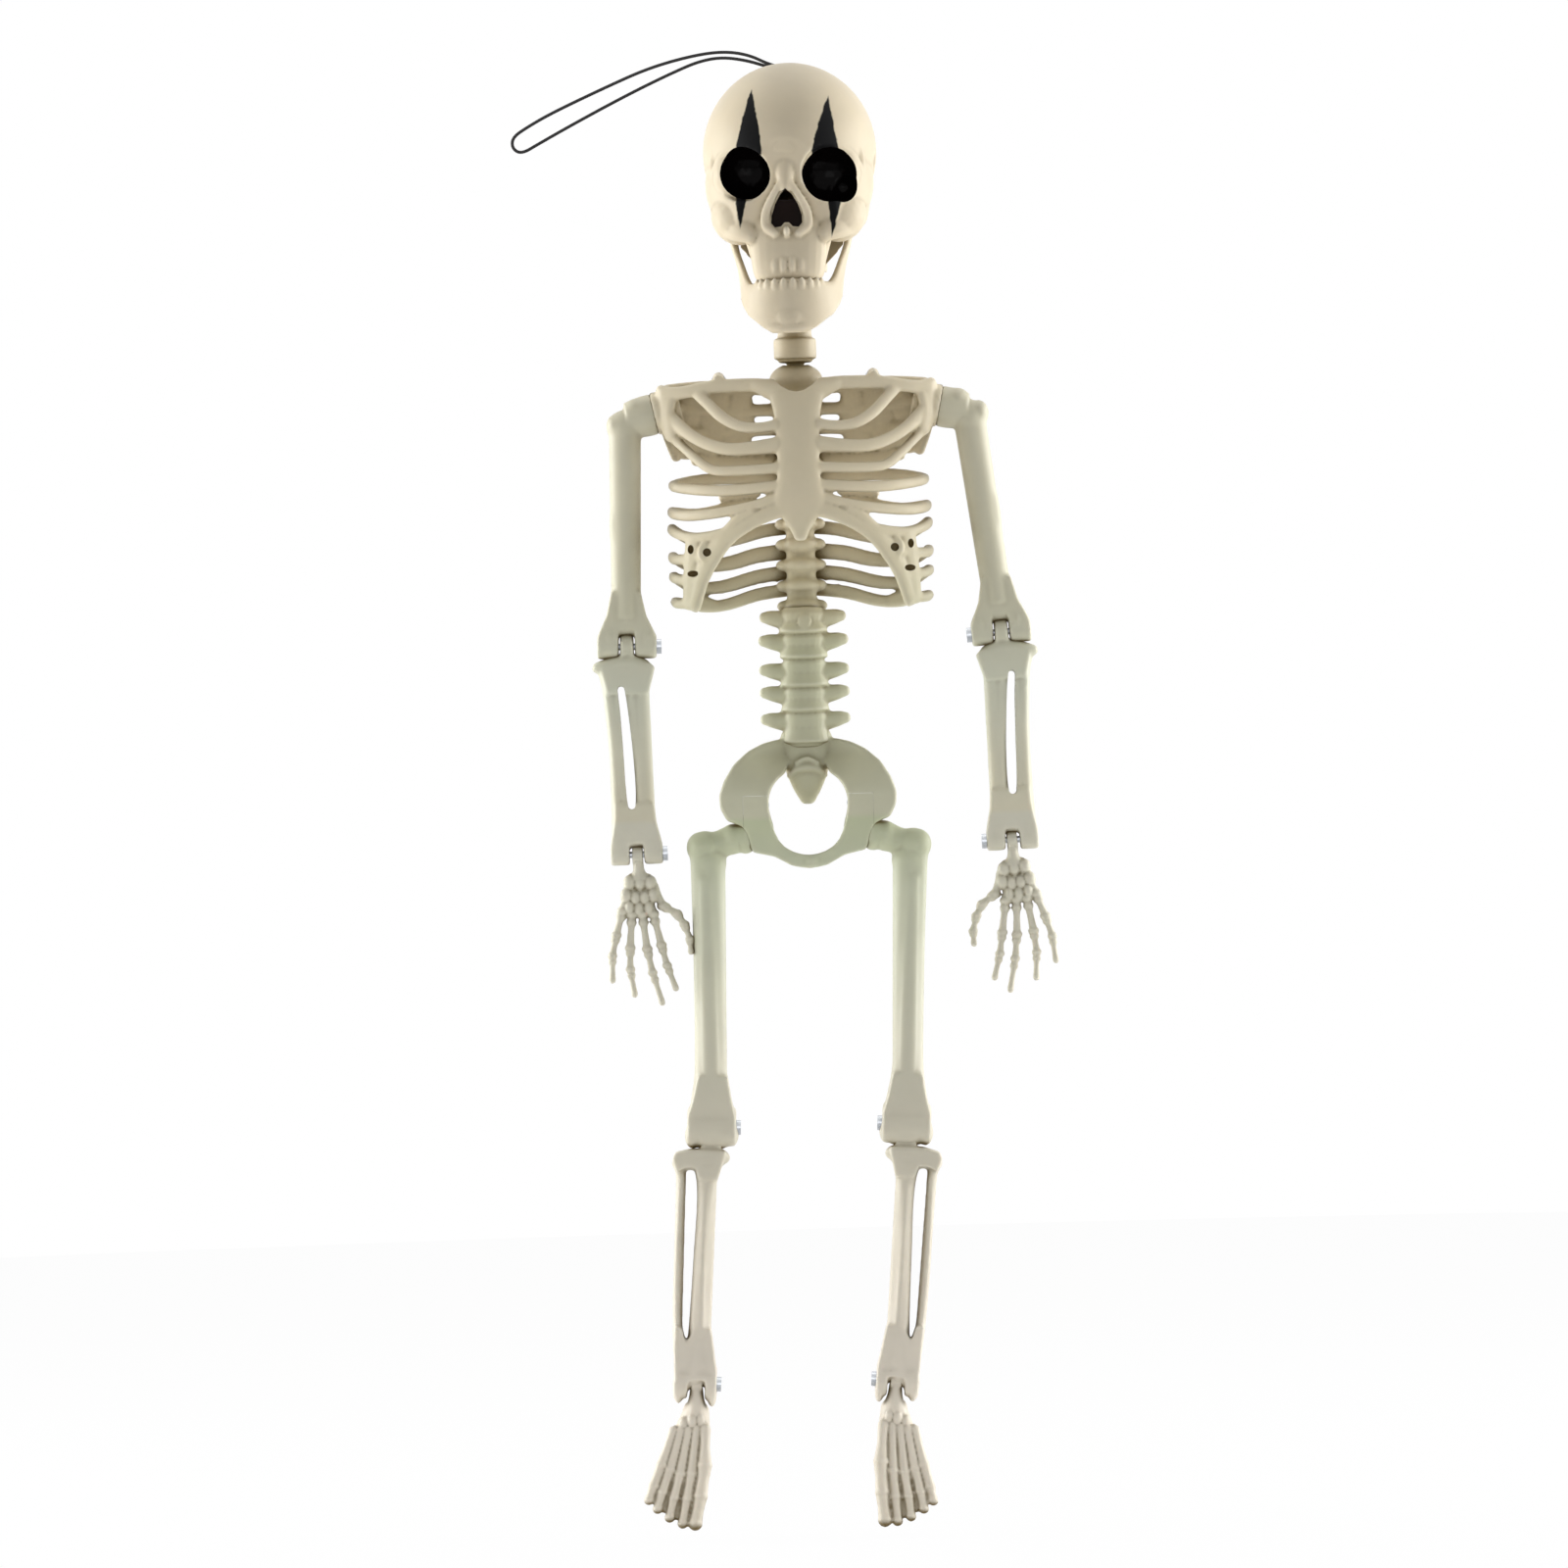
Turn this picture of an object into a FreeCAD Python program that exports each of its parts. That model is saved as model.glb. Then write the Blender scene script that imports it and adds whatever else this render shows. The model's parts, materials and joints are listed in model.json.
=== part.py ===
import FreeCAD, Part
import os
from math import cos, pi, radians, sin, sqrt, tan

V = FreeCAD.Vector

# A hanging skeleton figure. Sizes are millimetres. +Z is up, -Y is the figure's front and +X
# its left side. Sub-parts are modelled with the top of the skull at height 0 and the joints in
# the plane y = 0, and the whole is moved at the end so that the crown hole is the origin.

# Fits shared by every joint
gap = 0.3                    # between faces that move past each other
running = 0.07               # radial clearance of a screw or stub in its bore
slot_gap = 0.35              # each side of a tongue in its fork
screw_radius = 0.9
screw_head_radius = 2.0
screw_head_height = 1.3

# Skull
skull_half_width = 23.6
skull_half_depth = 27.5
dome_half_height = 24.5
dome_back = 1.5              # the dome's centre lies behind the joint plane
skull_wall = 1.8
cheek_half_width = 21.6
mouth_half_width = 11.3
mouth_drop = 60.5            # the upper teeth's edge, below the top of the skull
eye_half_spacing = 11.5
eye_drop = 31.7
eye_radius = 7.1
eye_depth = 8.5
nose_drop = 40.8
nose_half_width = 3.6
nose_height = 9.0
head_turn = 3.5              # the face looks a little to the figure's right, in degrees

# Jaw
jaw_pivot_drop = 45.0
jaw_pivot_front = 3.0
jaw_half_width = 14.2
jaw_wall = 2.6
chin_drop = 75.2
lip_drop = 60.9
jaw_front = 24.0
jaw_pin_radius = 1.2
jaw_arm_offset = 15.8
jaw_arm_width = 2.4

# Neck
nod_drop = 53.0
neck_length = 29.0           # nod axis to the seam on the collar
neck_radius = 4.6
neck_bead_radius = 5.8
neck_bead_height = 5.5
neck_bar_radius = 1.8
neck_bar_half_length = 6.6
neck_eye_half_width = 3.5
peg_radius = 2.2             # pegs of the neck and the waist
peg_head_radius = 2.8
peg_length = 8.0
peg_head_height = 1.8
collar_radius = 7.6
collar_height = 8.0

# Chest
chest_height = 66.4          # collar seam to waist seam
chest_half_width = 33.6
chest_half_depth = 19.5
chest_wall = 2.0
spine_back = 10.0            # axis of the spine behind the joint plane
spine_radius = 4.3
shoulder_below_collar = 12.5
shoulder_half_span = 38.5
shoulder_tilt = 12.3         # the shoulder axis points out and down, in degrees
shoulder_boss_radius = 6.2
sternum_half_width = 6.2
rib_gap_height = 2.4

# Stubs that the shells trap
shoulder_stub_radius = 2.9
shoulder_flange_radius = 4.4
shoulder_wall = 2.0
hip_stub_radius = 2.2
hip_flange_radius = 3.3
hip_wall = 1.8
flange_thickness = 1.5

# Lumbar spine and pelvis
lumbar_height = 34.5
vertebra_count = 5
vertebra_radius = 6.2
lumbar_tenon_radius = 4.8
process_half_span = 11.0
waist_to_hip = 61.8
hip_half_span = 16.2
hip_tilt = 14.5
hip_boss_radius = 5.0
wing_radius = 11.8
wing_offset = 12.6
wing_above_hip = 13.6
ring_half_width = 10.6
ring_half_height = 11.2
ring_above_hip = 5.9
pelvis_bar = 3.6
pelvis_half_depth = 5.0

# Arm
upper_arm_length = 63.9
humerus_radius = 4.1
humerus_head_radius = 4.9
shoulder_disc_radius = 5.6
forearm_length = 56.6
forearm_bone_radius = 2.55
elbow_half_width = 8.1
elbow_ear_radius = 3.3
elbow_tongue = 3.7
wrist_half_width = 7.1
wrist_ear_radius = 2.8
wrist_tongue = 3.2
palm_half_thickness = 1.7
finger_radius = 1.45

# Leg
thigh_length = 79.7
femur_radius = 4.2
hip_disc_radius = 4.4
trochanter_out = 11.6
trochanter_down = 4.6
trochanter_radius = 4.6
shin_length = 69.8
tibia_radius = 2.3
fibula_radius = 1.35
knee_half_width = 6.65
knee_ear_radius = 5.2
knee_front_wall = 1.8
knee_tongue = 5.6
ankle_half_width = 5.6
ankle_ear_radius = 4.4
ankle_front_wall = 1.0
ankle_tongue = 4.0
foot_length = 38.0           # ankle axis to the tip of the toes, along the foot
foot_heel = 9.0
foot_half_width = 8.6
foot_pitch = 60.0            # toes below the horizontal

# Cord
cord_diameter = 0.9
crown_hole_back = 10.0
crown_hole_radius = 2.0
knot_radius = 2.3
# The loop's route, from the knot out to the tip and back, as (x, y, z) below the top of the skull
cord_points = [
    (0.9, 9.4, -5.0), (-0.6, 9.4, -0.5), (-5.0, 9.2, 0.3), (-11.0, 8.8, 3.4),
    (-18.5, 8.5, 4.5), (-28.0, 8.3, 3.2), (-39.0, 8.2, 0.3), (-49.5, 8.2, -4.0),
    (-59.5, 8.3, -8.3), (-66.6, 8.5, -11.5), (-72.2, 8.7, -14.5), (-76.3, 8.9, -17.1),
    (-76.5, 9.1, -20.1), (-74.0, 9.3, -21.7), (-69.3, 9.5, -19.1), (-61.2, 9.8, -14.8),
    (-51.4, 10.1, -9.8), (-41.2, 10.4, -4.85), (-31.5, 10.6, -0.55), (-24.8, 10.7, 2.1),
    (-18.4, 10.7, 3.1), (-11.3, 10.7, 1.9), (-5.6, 10.7, -0.1), (-0.8, 10.6, -0.4),
    (0.9, 10.6, -5.0),
]

# How each side hangs at rest: how far each bone leans outwards going down, in degrees
lean = {
    "right": {"upper_arm": 8.6, "elbow": 0.5, "forearm": -1.1, "palm": -4.5,
              "thigh": 9.1, "knee": 3.0, "shin": 5.0, "foot": 8.0},
    "left": {"upper_arm": 13.9, "elbow": 4.0, "forearm": 1.5, "palm": 1.0,
             "thigh": 5.8, "knee": -3.0, "shin": -4.0, "foot": -0.5},
}
side_sign = {"right": -1, "left": 1}

# Heights and centres that follow from the sizes above
collar_z = -(nod_drop + neck_length)
waist_z = collar_z - chest_height
shoulder = V(shoulder_half_span, 0, collar_z - shoulder_below_collar)
hip = V(hip_half_span, 0, waist_z - waist_to_hip)
shoulder_axis = V(cos(radians(shoulder_tilt)), 0, -sin(radians(shoulder_tilt)))
hip_axis = V(cos(radians(hip_tilt)), 0, -sin(radians(hip_tilt)))


def dome_height_at(y):
    """Height of the skull's outer surface on its middle line."""
    share = (y - dome_back) / skull_half_depth
    return dome_half_height * (sqrt(1 - share * share) - 1)


crown_hole = V(0, crown_hole_back, dome_height_at(crown_hole_back))


# Plain solids

def rod(start, end, radius, end_radius=None):
    along = end - start
    if end_radius is None or abs(end_radius - radius) < 1e-6:
        return Part.makeCylinder(radius, along.Length, start, along)
    return Part.makeCone(radius, end_radius, along.Length, start, along)


def ball(centre, radius):
    return Part.makeSphere(radius, centre)


def block(low, high):
    low, high = V(*low), V(*high)
    return Part.makeBox(high.x - low.x, high.y - low.y, high.z - low.z, low)


def slab(outline, front, back):
    """An outline of (x, z) points in the front view, from y = front to y = back."""
    corners = [V(x, front, z) for x, z in outline]
    face = Part.Face(Part.makePolygon(corners + corners[:1]))
    return face.extrude(V(0, back - front, 0))


def plate_along_x(outline, left, right):
    """An outline of (y, z) points in the side view, from x = left to x = right."""
    corners = [V(left, y, z) for y, z in outline]
    face = Part.Face(Part.makePolygon(corners + corners[:1]))
    return face.extrude(V(right - left, 0, 0))


def ellipsoid(centre, half_x, half_y, half_z):
    scale = FreeCAD.Matrix()
    scale.scale(V(half_x, half_y, half_z))
    solid = Part.makeSphere(1).transformGeometry(scale)
    solid.translate(centre)
    return solid


def ring_section(z, half_x, half_y, centre_y):
    """A flat ellipse at height z. The longer half is the first one that Part.Ellipse takes."""
    if half_x >= half_y:
        curve = Part.Ellipse(V(half_x, centre_y, z), V(0, centre_y + half_y, z), V(0, centre_y, z))
    else:
        curve = Part.Ellipse(V(0, centre_y + half_y, z), V(-half_x, centre_y, z), V(0, centre_y, z))
    return Part.Wire(curve.toShape())


def fused(*shapes):
    whole = shapes[0].fuse(list(shapes[1:])).removeSplitter()
    return whole.Solids[0] if len(whole.Solids) == 1 else whole


def fused_in_turn(*shapes):
    """For thin pieces with many openings, which don't join soundly in one go."""
    whole = shapes[0]
    for shape in shapes[1:]:
        whole = whole.fuse(shape)
    return whole.Solids[0]


def turned(shape, origin, leaning):
    """Moves a piece drawn about its own joint to origin, with its lower end leaning outwards."""
    moved = shape.copy()
    place = FreeCAD.Placement(origin, FreeCAD.Rotation(V(0, 1, 0), -leaning))
    moved.Placement = place.multiply(moved.Placement)
    return moved


def on_side(shape, side):
    return shape if side_sign[side] > 0 else shape.mirror(V(0, 0, 0), V(1, 0, 0))


def below(origin, length, leaning):
    return V(origin.x + length * sin(radians(leaning)), 0, origin.z - length * cos(radians(leaning)))


def both_halves(outline):
    """An outline given for x > 0 from top to bottom, with its mirror image added."""
    return outline + [(-x, z) for x, z in reversed(outline)]


# Screws

def screw(head_face, direction, length):
    """A pan-head screw. head_face is the middle of the face under its head."""
    way = V(direction).normalize()
    shank = Part.makeCylinder(screw_radius, length, head_face, way)
    head = Part.makeCylinder(screw_head_radius, screw_head_height, head_face, way * -1)
    solid = fused(shank, head)
    edge = screw_head_radius
    for across in (V(0, 0, 1), way.cross(V(0, 0, 1))):
        if across.Length < 0.1:
            across = V(0, 1, 0)
        across.normalize()
        start = head_face - way * screw_head_height - across * (edge * 0.6)
        slot = Part.makeCylinder(0.3, edge * 1.2, start, across)
        solid = solid.cut(slot)
    return solid


def hinge_screw(origin, leaning, half_width):
    """A hinge's screw, with its head on the inner side of the fork."""
    local = screw(V(-half_width, 0, 0), V(1, 0, 0), 2 * half_width - 1.0)
    return turned(local, origin, leaning)


def cross_bore(radius, half_width):
    return rod(V(-half_width - 5, 0, 0), V(half_width + 5, 0, 0), radius)


# Skull, in the head's own frame; the head is turned about the vertical at the end

def skull_outer():
    dome = ellipsoid(V(0, dome_back, -dome_half_height), skull_half_width, skull_half_depth,
                     dome_half_height)
    cheek_z = -(nose_drop - 1)
    levels = [
        ring_section(-(eye_drop - 7), cheek_half_width * 0.96, 21.0, -4.0),
        ring_section(cheek_z, cheek_half_width, 20.5, -4.5),
        ring_section(cheek_z - 9.5, (cheek_half_width + mouth_half_width) / 2, 17.0, -7.5),
        ring_section(-mouth_drop, mouth_half_width, 12.0, -12.0),
    ]
    face = Part.makeLoft(levels, True, False)
    return fused(dome, face)


def skull_base():
    """The block under the brain case that holds the neck's cross bar."""
    bottom = -nod_drop - neck_bar_radius - 2.0
    outer = block((-9.0, -5.0, bottom), (9.0, 10.0, -nod_drop + 10))
    throat = neck_eye_half_width + slot_gap
    inside = block((-throat, -20, bottom - 1), (throat, 20, -nod_drop + 4.6))
    room = neck_radius + 2 * gap
    swing = block((-room, -room - 3.0, bottom - 20), (room, 20, bottom - gap))
    bar = rod(V(-neck_bar_half_length - gap, 0, -nod_drop), V(neck_bar_half_length + gap, 0, -nod_drop),
              neck_bar_radius + running)
    return outer, [inside, swing, bar]


def skull_whole():
    outer = skull_outer()
    wall = skull_wall
    cavity = ellipsoid(V(0, dome_back, -dome_half_height), skull_half_width - wall,
                       skull_half_depth - wall, dome_half_height - wall)
    shell = outer.cut(cavity)
    eye_front = -skull_half_depth - 10
    eye_back = dome_back - skull_half_depth + eye_depth + 2.5
    cups = []
    pockets = []
    for x in (-eye_half_spacing, eye_half_spacing):
        cups.append(rod(V(x, eye_back - eye_depth, -eye_drop), V(x, eye_back + wall, -eye_drop), eye_radius + wall))
        pockets.append(rod(V(x, eye_front, -eye_drop), V(x, eye_back, -eye_drop), eye_radius))
    base, throat = skull_base()
    shell = fused(shell, *[cup.common(outer) for cup in cups], base.cut(cavity))
    nose = slab([(-nose_half_width, -nose_drop - nose_height / 2), (nose_half_width, -nose_drop - nose_height / 2),
                 (nose_half_width, -nose_drop), (0, -nose_drop + nose_height / 2), (-nose_half_width, -nose_drop)],
                eye_front, -jaw_front + 4.5)
    cuts = pockets + throat + [nose]
    pocket_half = jaw_arm_width / 2 + gap + 0.2
    for way in (-1, 1):
        low = way * jaw_arm_offset - pocket_half
        high = way * jaw_arm_offset + pocket_half
        arm_top = -jaw_pivot_drop + 4.2
        cuts.append(block((low, -jaw_pivot_front - 7.5, -80), (high, -jaw_pivot_front + 7.5, arm_top)))
        reach = jaw_arm_offset + jaw_arm_width / 2 + 1.4
        cuts.append(rod(V(way * (jaw_arm_offset - 2.8), -jaw_pivot_front, -jaw_pivot_drop),
                        V(way * reach, -jaw_pivot_front, -jaw_pivot_drop), jaw_pin_radius + running))
    hole = rod(V(0, crown_hole_back, -8), V(0, crown_hole_back, 5), crown_hole_radius)
    return shell.cut(cuts + [hole])


def skull_screw_places():
    """The screws sit low on the back of the skull, either side of the neck."""
    z = -nod_drop + 5.2
    return [V(x, 10.0, z) for x in (-7.0, 7.0)]


def skull_parts():
    whole = skull_whole()
    bores = [rod(place + V(0, 1, 0), place + V(0, -14.0, 0), screw_radius) for place in skull_screw_places()]
    heads = [rod(place, place + V(0, 40, 0), screw_head_radius + 0.4) for place in skull_screw_places()]
    whole = whole.cut(bores + heads)
    size = 100
    front = whole.common(block((-size, -size, -size), (size, 0, size)))
    back = whole.common(block((-size, 0, -size), (size, size, size)))
    screws = [screw(place, V(0, -1, 0), 13.0) for place in skull_screw_places()]
    return biggest(front), biggest(back), Part.makeCompound(screws)


def biggest(shape):
    return max(shape.Solids, key=lambda solid: solid.Volume)


def jaw_levels(inset):
    """Sections of the jaw's body from the lip down to the chin."""
    corner = -chin_drop + 9
    return [
        ring_section(-lip_drop, jaw_half_width - inset, jaw_front - 9 - inset, -9),
        ring_section(corner, jaw_half_width - 0.6 - inset, jaw_front - 9 - inset, -9),
        ring_section(-chin_drop, jaw_half_width - 5.4 - inset, jaw_front - 12.5 - inset, -10.5),
    ]


def jaw():
    """A U of plastic with a rising arm at each side, a pin on each arm and the chin in front."""
    body = Part.makeLoft(jaw_levels(0), True, False)
    hollow = Part.makeLoft(jaw_levels(jaw_wall), True, False)
    rear = plate_along_x([(-4.5, -lip_drop + 1), (-5.2, -lip_drop - 3), (-12.0, -chin_drop - 1), (30, -chin_drop - 1),
                          (30, -lip_drop + 1)], -30, 30)
    body = body.cut([hollow, rear])
    pieces = [body]
    for way in (-1, 1):
        near = way * jaw_arm_offset - jaw_arm_width / 2
        far = near + jaw_arm_width
        top = -jaw_pivot_drop
        front = -jaw_pivot_front
        arm = plate_along_x([(front - 3.2, top), (front + 3.2, top), (front + 1.4, -lip_drop - 5.5),
                             (front - 8.5, -lip_drop - 5.5)], near, far)
        head = rod(V(near, front, top), V(far, front, top), 3.2)
        pin = rod(V(way * (jaw_arm_offset - 2.4), front, top),
                  V(way * (jaw_arm_offset + jaw_arm_width / 2 + 1.1), front, top), jaw_pin_radius)
        foot_x = [way * (jaw_half_width - jaw_wall), far if way > 0 else near]
        root = block((min(foot_x), front - 9.5, -lip_drop - 7.0), (max(foot_x), front + 0.5, -lip_drop - 1.6))
        pieces += [arm, head, pin, root]
    return fused(*pieces)


# Neck

def snap_peg(top, bottom):
    """A peg between two heights on its axis, with a snap head at the end."""
    way = V(0, 0, 1 if bottom.z > top.z else -1)
    shank = Part.makeCylinder(peg_radius, peg_length, top, way)
    head = Part.makeCylinder(peg_head_radius, peg_head_height, top + way * (peg_length - peg_head_height), way)
    return shank, head


def peg_bore(mouth, way):
    """The bore and chamber that a snap peg turns in. way points into the bore."""
    overlap = 1.0
    bore = Part.makeCylinder(peg_radius + running, peg_length + overlap, mouth - way * overlap, way)
    start = peg_length - peg_head_height - gap
    chamber = Part.makeCylinder(peg_head_radius + gap, peg_head_height + 2 * gap, mouth + way * start, way)
    return bore, chamber


def neck_post():
    seam = V(0, 0, collar_z + gap)
    bead_top = collar_z + gap + 1.0 + neck_bead_height
    eye = rod(V(-neck_eye_half_width, 0, -nod_drop), V(neck_eye_half_width, 0, -nod_drop), 3.2)
    bar = rod(V(-neck_bar_half_length, 0, -nod_drop), V(neck_bar_half_length, 0, -nod_drop), neck_bar_radius)
    link = block((-neck_eye_half_width, -3.0, -nod_drop - 8.0), (neck_eye_half_width, 3.0, -nod_drop))
    column = rod(V(0, 0, -nod_drop - 6.5), seam, neck_radius)
    bead = rod(V(0, 0, bead_top - neck_bead_height), V(0, 0, bead_top), neck_bead_radius)
    shank, head = snap_peg(seam, seam - V(0, 0, 1))
    return fused(eye, bar, link, column, bead, shank, head)


# Chest

def chest_levels(inset):
    """Sections of the ribcage from top to bottom, drawn in by inset."""
    shares = [(0.08, 0.52, 0.66), (0.24, 0.86, 0.84), (0.45, 0.93, 0.95), (0.72, 1.0, 1.0), (1.0, 0.96, 0.93)]
    sections = []
    for share, wide, deep in shares:
        z = collar_z - chest_height * share
        if share == shares[0][0] and inset > 0:
            z -= inset
        if share == shares[-1][0]:
            z -= inset
        sections.append(ring_section(z, chest_half_width * wide - inset, chest_half_depth * deep - inset, 0))
    return sections


def front_windows():
    """Gaps between the front ribs, the open arch below them and the notch for the collar."""
    cuts = []
    top = collar_z
    for way in (-1, 1):
        upper = [(7.5, -8.2), (19.5, -8.2), (20.5, -10.5), (17.0, -14.5), (11.0, -16.0), (7.5, -14.5)]
        second = [(7.0, -19.2), (15.5, -18.2), (24.5, -10.0), (31.0, -10.0), (28.0, -17.0), (20.5, -21.0), (7.0, -21.2)]
        for outline in (upper, second):
            cuts.append(slab([(way * x, top + z) for x, z in outline], -40, -2))
        for row in range(5):
            z = top - 25.5 - row * 5.4
            drop = 0.6 * row
            cuts.append(slab([(way * sternum_half_width * 1.15, z), (way * 40, z - drop),
                              (way * 40, z - drop - rib_gap_height), (way * sternum_half_width * 1.15, z - rib_gap_height)],
                             -40, -4.5))
    arch = both_halves([(0.1, -49.0), (2.2, -49.0), (4.0, -43.5), (6.0, -42.6), (9.0, -43.8), (14.5, -48.0),
                        (19.5, -54.0), (23.5, -61.0), (26.5, -68.0), (26.5, -chest_height - 3)])
    cuts.append(slab([(x, top + z) for x, z in arch], -40, -2))
    cuts.append(rod(V(0, 0, collar_z + 5), V(0, 0, collar_z - collar_height - gap - 1), collar_radius + gap + 0.2))
    return cuts


def back_windows():
    """Gaps between the back ribs, which droop outwards from the spine."""
    cuts = []
    for way in (-1, 1):
        for row in range(8):
            z = collar_z - 10.5 - row * 6.7
            droop = 0.5 * row
            reach = 15.0 if row < 3 else 40.0
            front = 6.0 if row < 3 else 4.5
            cuts.append(slab([(way * (spine_radius + 1.2), z), (way * reach, z - droop),
                              (way * reach, z - droop - rib_gap_height), (way * (spine_radius + 1.2), z - rib_gap_height)],
                             front, 40))
    return cuts


def shoulder_bosses():
    bosses = []
    cavities = []
    face = shoulder - shoulder_axis * (gap / 2)
    inner = face - shoulder_axis * shoulder_wall
    depth = flange_thickness + 2 * gap
    for way in (-1, 1):
        parts = [rod(face - shoulder_axis * 13.5, face, shoulder_boss_radius)]
        holes = [rod(inner - shoulder_axis * depth, inner, shoulder_flange_radius + gap),
                 rod(inner - shoulder_axis, face + shoulder_axis, shoulder_stub_radius + running)]
        if way < 0:
            parts = [part.mirror(V(0, 0, 0), V(1, 0, 0)) for part in parts]
            holes = [hole.mirror(V(0, 0, 0), V(1, 0, 0)) for hole in holes]
        bosses += parts
        cavities += holes
    return bosses, cavities


def chest_screw_places():
    """Two screws behind the clavicles and two beside the lower ribs; heads at the back."""
    upper = collar_z - 3.6
    lower = collar_z - 50.8
    return [V(-21.0, 8.0, upper), V(21.0, 8.0, upper), V(-25.5, 12.0, lower), V(25.5, 12.0, lower)]


def chest_posts():
    """Screw posts between the two shells, split at the joint plane."""
    posts = []
    for place in chest_screw_places():
        top_pair = place.z > collar_z - 20
        front = -8.5 if top_pair else -13.5
        posts.append(rod(V(place.x, front, place.z), place, 2.4))
        if top_pair:
            posts.append(block((place.x - 2.4, front, place.z - 5), (place.x + 2.4, place.y, place.z)))
    return posts


def chest_parts():
    outer = Part.makeLoft(chest_levels(0), True, False)
    inner = Part.makeLoft(chest_levels(chest_wall), True, False)
    barrel = outer.cut(inner)
    bosses, cavities = shoulder_bosses()
    size = 100
    ahead = block((-size, -size, -2 * size), (size, 0, size))
    behind = block((-size, 0, -2 * size), (size, size, size))

    front = barrel.common(ahead).cut(front_windows())
    bar_z = collar_z - 6.0
    clavicles = [rod(V(way * 7.5, -chest_half_depth * 0.62, bar_z), V(way * (shoulder_half_span - 2.5), -2.0, bar_z + 0.6), 1.9)
                 for way in (-1, 1)]
    manubrium = slab(both_halves([(6.8, -4.2), (7.8, -9.0), (6.2, -20.0)]), -chest_half_depth * 0.84, -9.2)
    manubrium.translate(V(0, 0, collar_z))
    notch = slab([(-7.0, 0), (7.0, 0), (5.6, -5.2), (2.4, -8.4), (-2.4, -8.4), (-5.6, -5.2)], -40, 0)
    notch.translate(V(0, 0, collar_z))
    bores = []
    screws = []
    for place in chest_screw_places():
        bores.append(rod(place + V(0, 1, 0), place - V(0, 15.0, 0), screw_radius))
        bores.append(rod(place, place + V(0, 30, 0), screw_head_radius + 0.4))
        screws.append(screw(place, V(0, -1, 0), 14.0))
    hollows = cavities + bores
    lugs = [boss.common(ahead) for boss in bosses + chest_posts()]
    pieces = [front, *clavicles, manubrium.cut(notch), *lugs]
    front = fused_in_turn(*[piece.cut(hollows) for piece in pieces])

    back = barrel.common(behind).cut(back_windows())
    spine_axis = V(0, spine_back, 0)
    column = rod(spine_axis + V(0, 0, waist_z + gap / 2), spine_axis + V(0, 0, collar_z - 7), spine_radius)
    web = block((-2.0, spine_back, waist_z + gap / 2), (2.0, chest_half_depth - 1.2, collar_z - 7))
    web = web.common(outer)
    collar = rod(V(0, 0, collar_z - collar_height), V(0, 0, collar_z), collar_radius, collar_radius - 2.0)
    neck_block = block((-4.5, 2.0, collar_z - collar_height - 2), (4.5, spine_back + 2, collar_z - 3))
    blade = slab([(0, 0), (-17, 1.0), (-18.5, -12.0), (-15.0, -20.0), (-8.0, -17.0), (2.0, -5.0)], 0, 2.0)
    blades = []
    for way in (-1, 1):
        leaf = blade.copy()
        leaf.Placement = FreeCAD.Placement(V(-17.5, 14.0, collar_z - 4.6), FreeCAD.Rotation(V(0, 0, 1), 27))
        blades.append(leaf if way < 0 else leaf.mirror(V(0, 0, 0), V(1, 0, 0)))
    lugs = [boss.common(behind) for boss in bosses + chest_posts()]
    back = fused(back, column, web, collar, neck_block, *blades, *lugs)
    cuts = list(peg_bore(V(0, 0, collar_z), V(0, 0, -1)))
    cuts += peg_bore(V(0, spine_back, waist_z + gap / 2), V(0, 0, 1))
    back = back.cut(cuts + hollows)
    return front, back, Part.makeCompound(screws)


# Waist and pelvis

def lumbar_spine():
    """Five vertebrae on one column, with a snap peg on top and a tenon below."""
    top = waist_z - gap / 2
    pitch = lumbar_height / vertebra_count
    axis = V(0, spine_back, 0)
    shank, head = snap_peg(axis + V(0, 0, top), axis + V(0, 0, top + 1))
    pieces = [shank, head, rod(axis + V(0, 0, top - lumbar_height - 9), axis + V(0, 0, top), lumbar_tenon_radius)]
    for row in range(vertebra_count):
        z = top - pitch * row
        pieces.append(rod(axis + V(0, 0, z - pitch * 0.8), axis + V(0, 0, z), vertebra_radius - 0.3, vertebra_radius))
        mid = axis + V(0, 0, z - pitch * 0.35)
        for way in (-1, 1):
            pieces.append(rod(mid + V(way * 3, 0, 0), mid + V(way * process_half_span, 0, 0), 2.5, 1.3))
        pieces.append(block((-1.1, spine_back + 3, z - pitch * 0.8), (1.1, spine_back + 10.5, z - pitch * 0.3)))
    return fused(*pieces)


def hip_bosses():
    bosses = []
    cavities = []
    face = hip - hip_axis * (gap / 2)
    inner = face - hip_axis * hip_wall
    depth = flange_thickness + 2 * gap
    for way in (-1, 1):
        parts = [rod(face - hip_axis * 5.6, face, hip_boss_radius)]
        holes = [rod(inner - hip_axis * depth, inner, hip_flange_radius + gap),
                 rod(inner - hip_axis, face + hip_axis, hip_stub_radius + running),
                 rod(face, face + hip_axis * 12, hip_disc_radius + 2 * gap)]
        if way < 0:
            parts = [part.mirror(V(0, 0, 0), V(1, 0, 0)) for part in parts]
            holes = [hole.mirror(V(0, 0, 0), V(1, 0, 0)) for hole in holes]
        bosses += parts
        cavities += holes
    return bosses, cavities


def pelvis_screw_places():
    return [V(way * (hip_half_span - 3.6), 4.6, hip.z + 8.4) for way in (-1, 1)]


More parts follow.
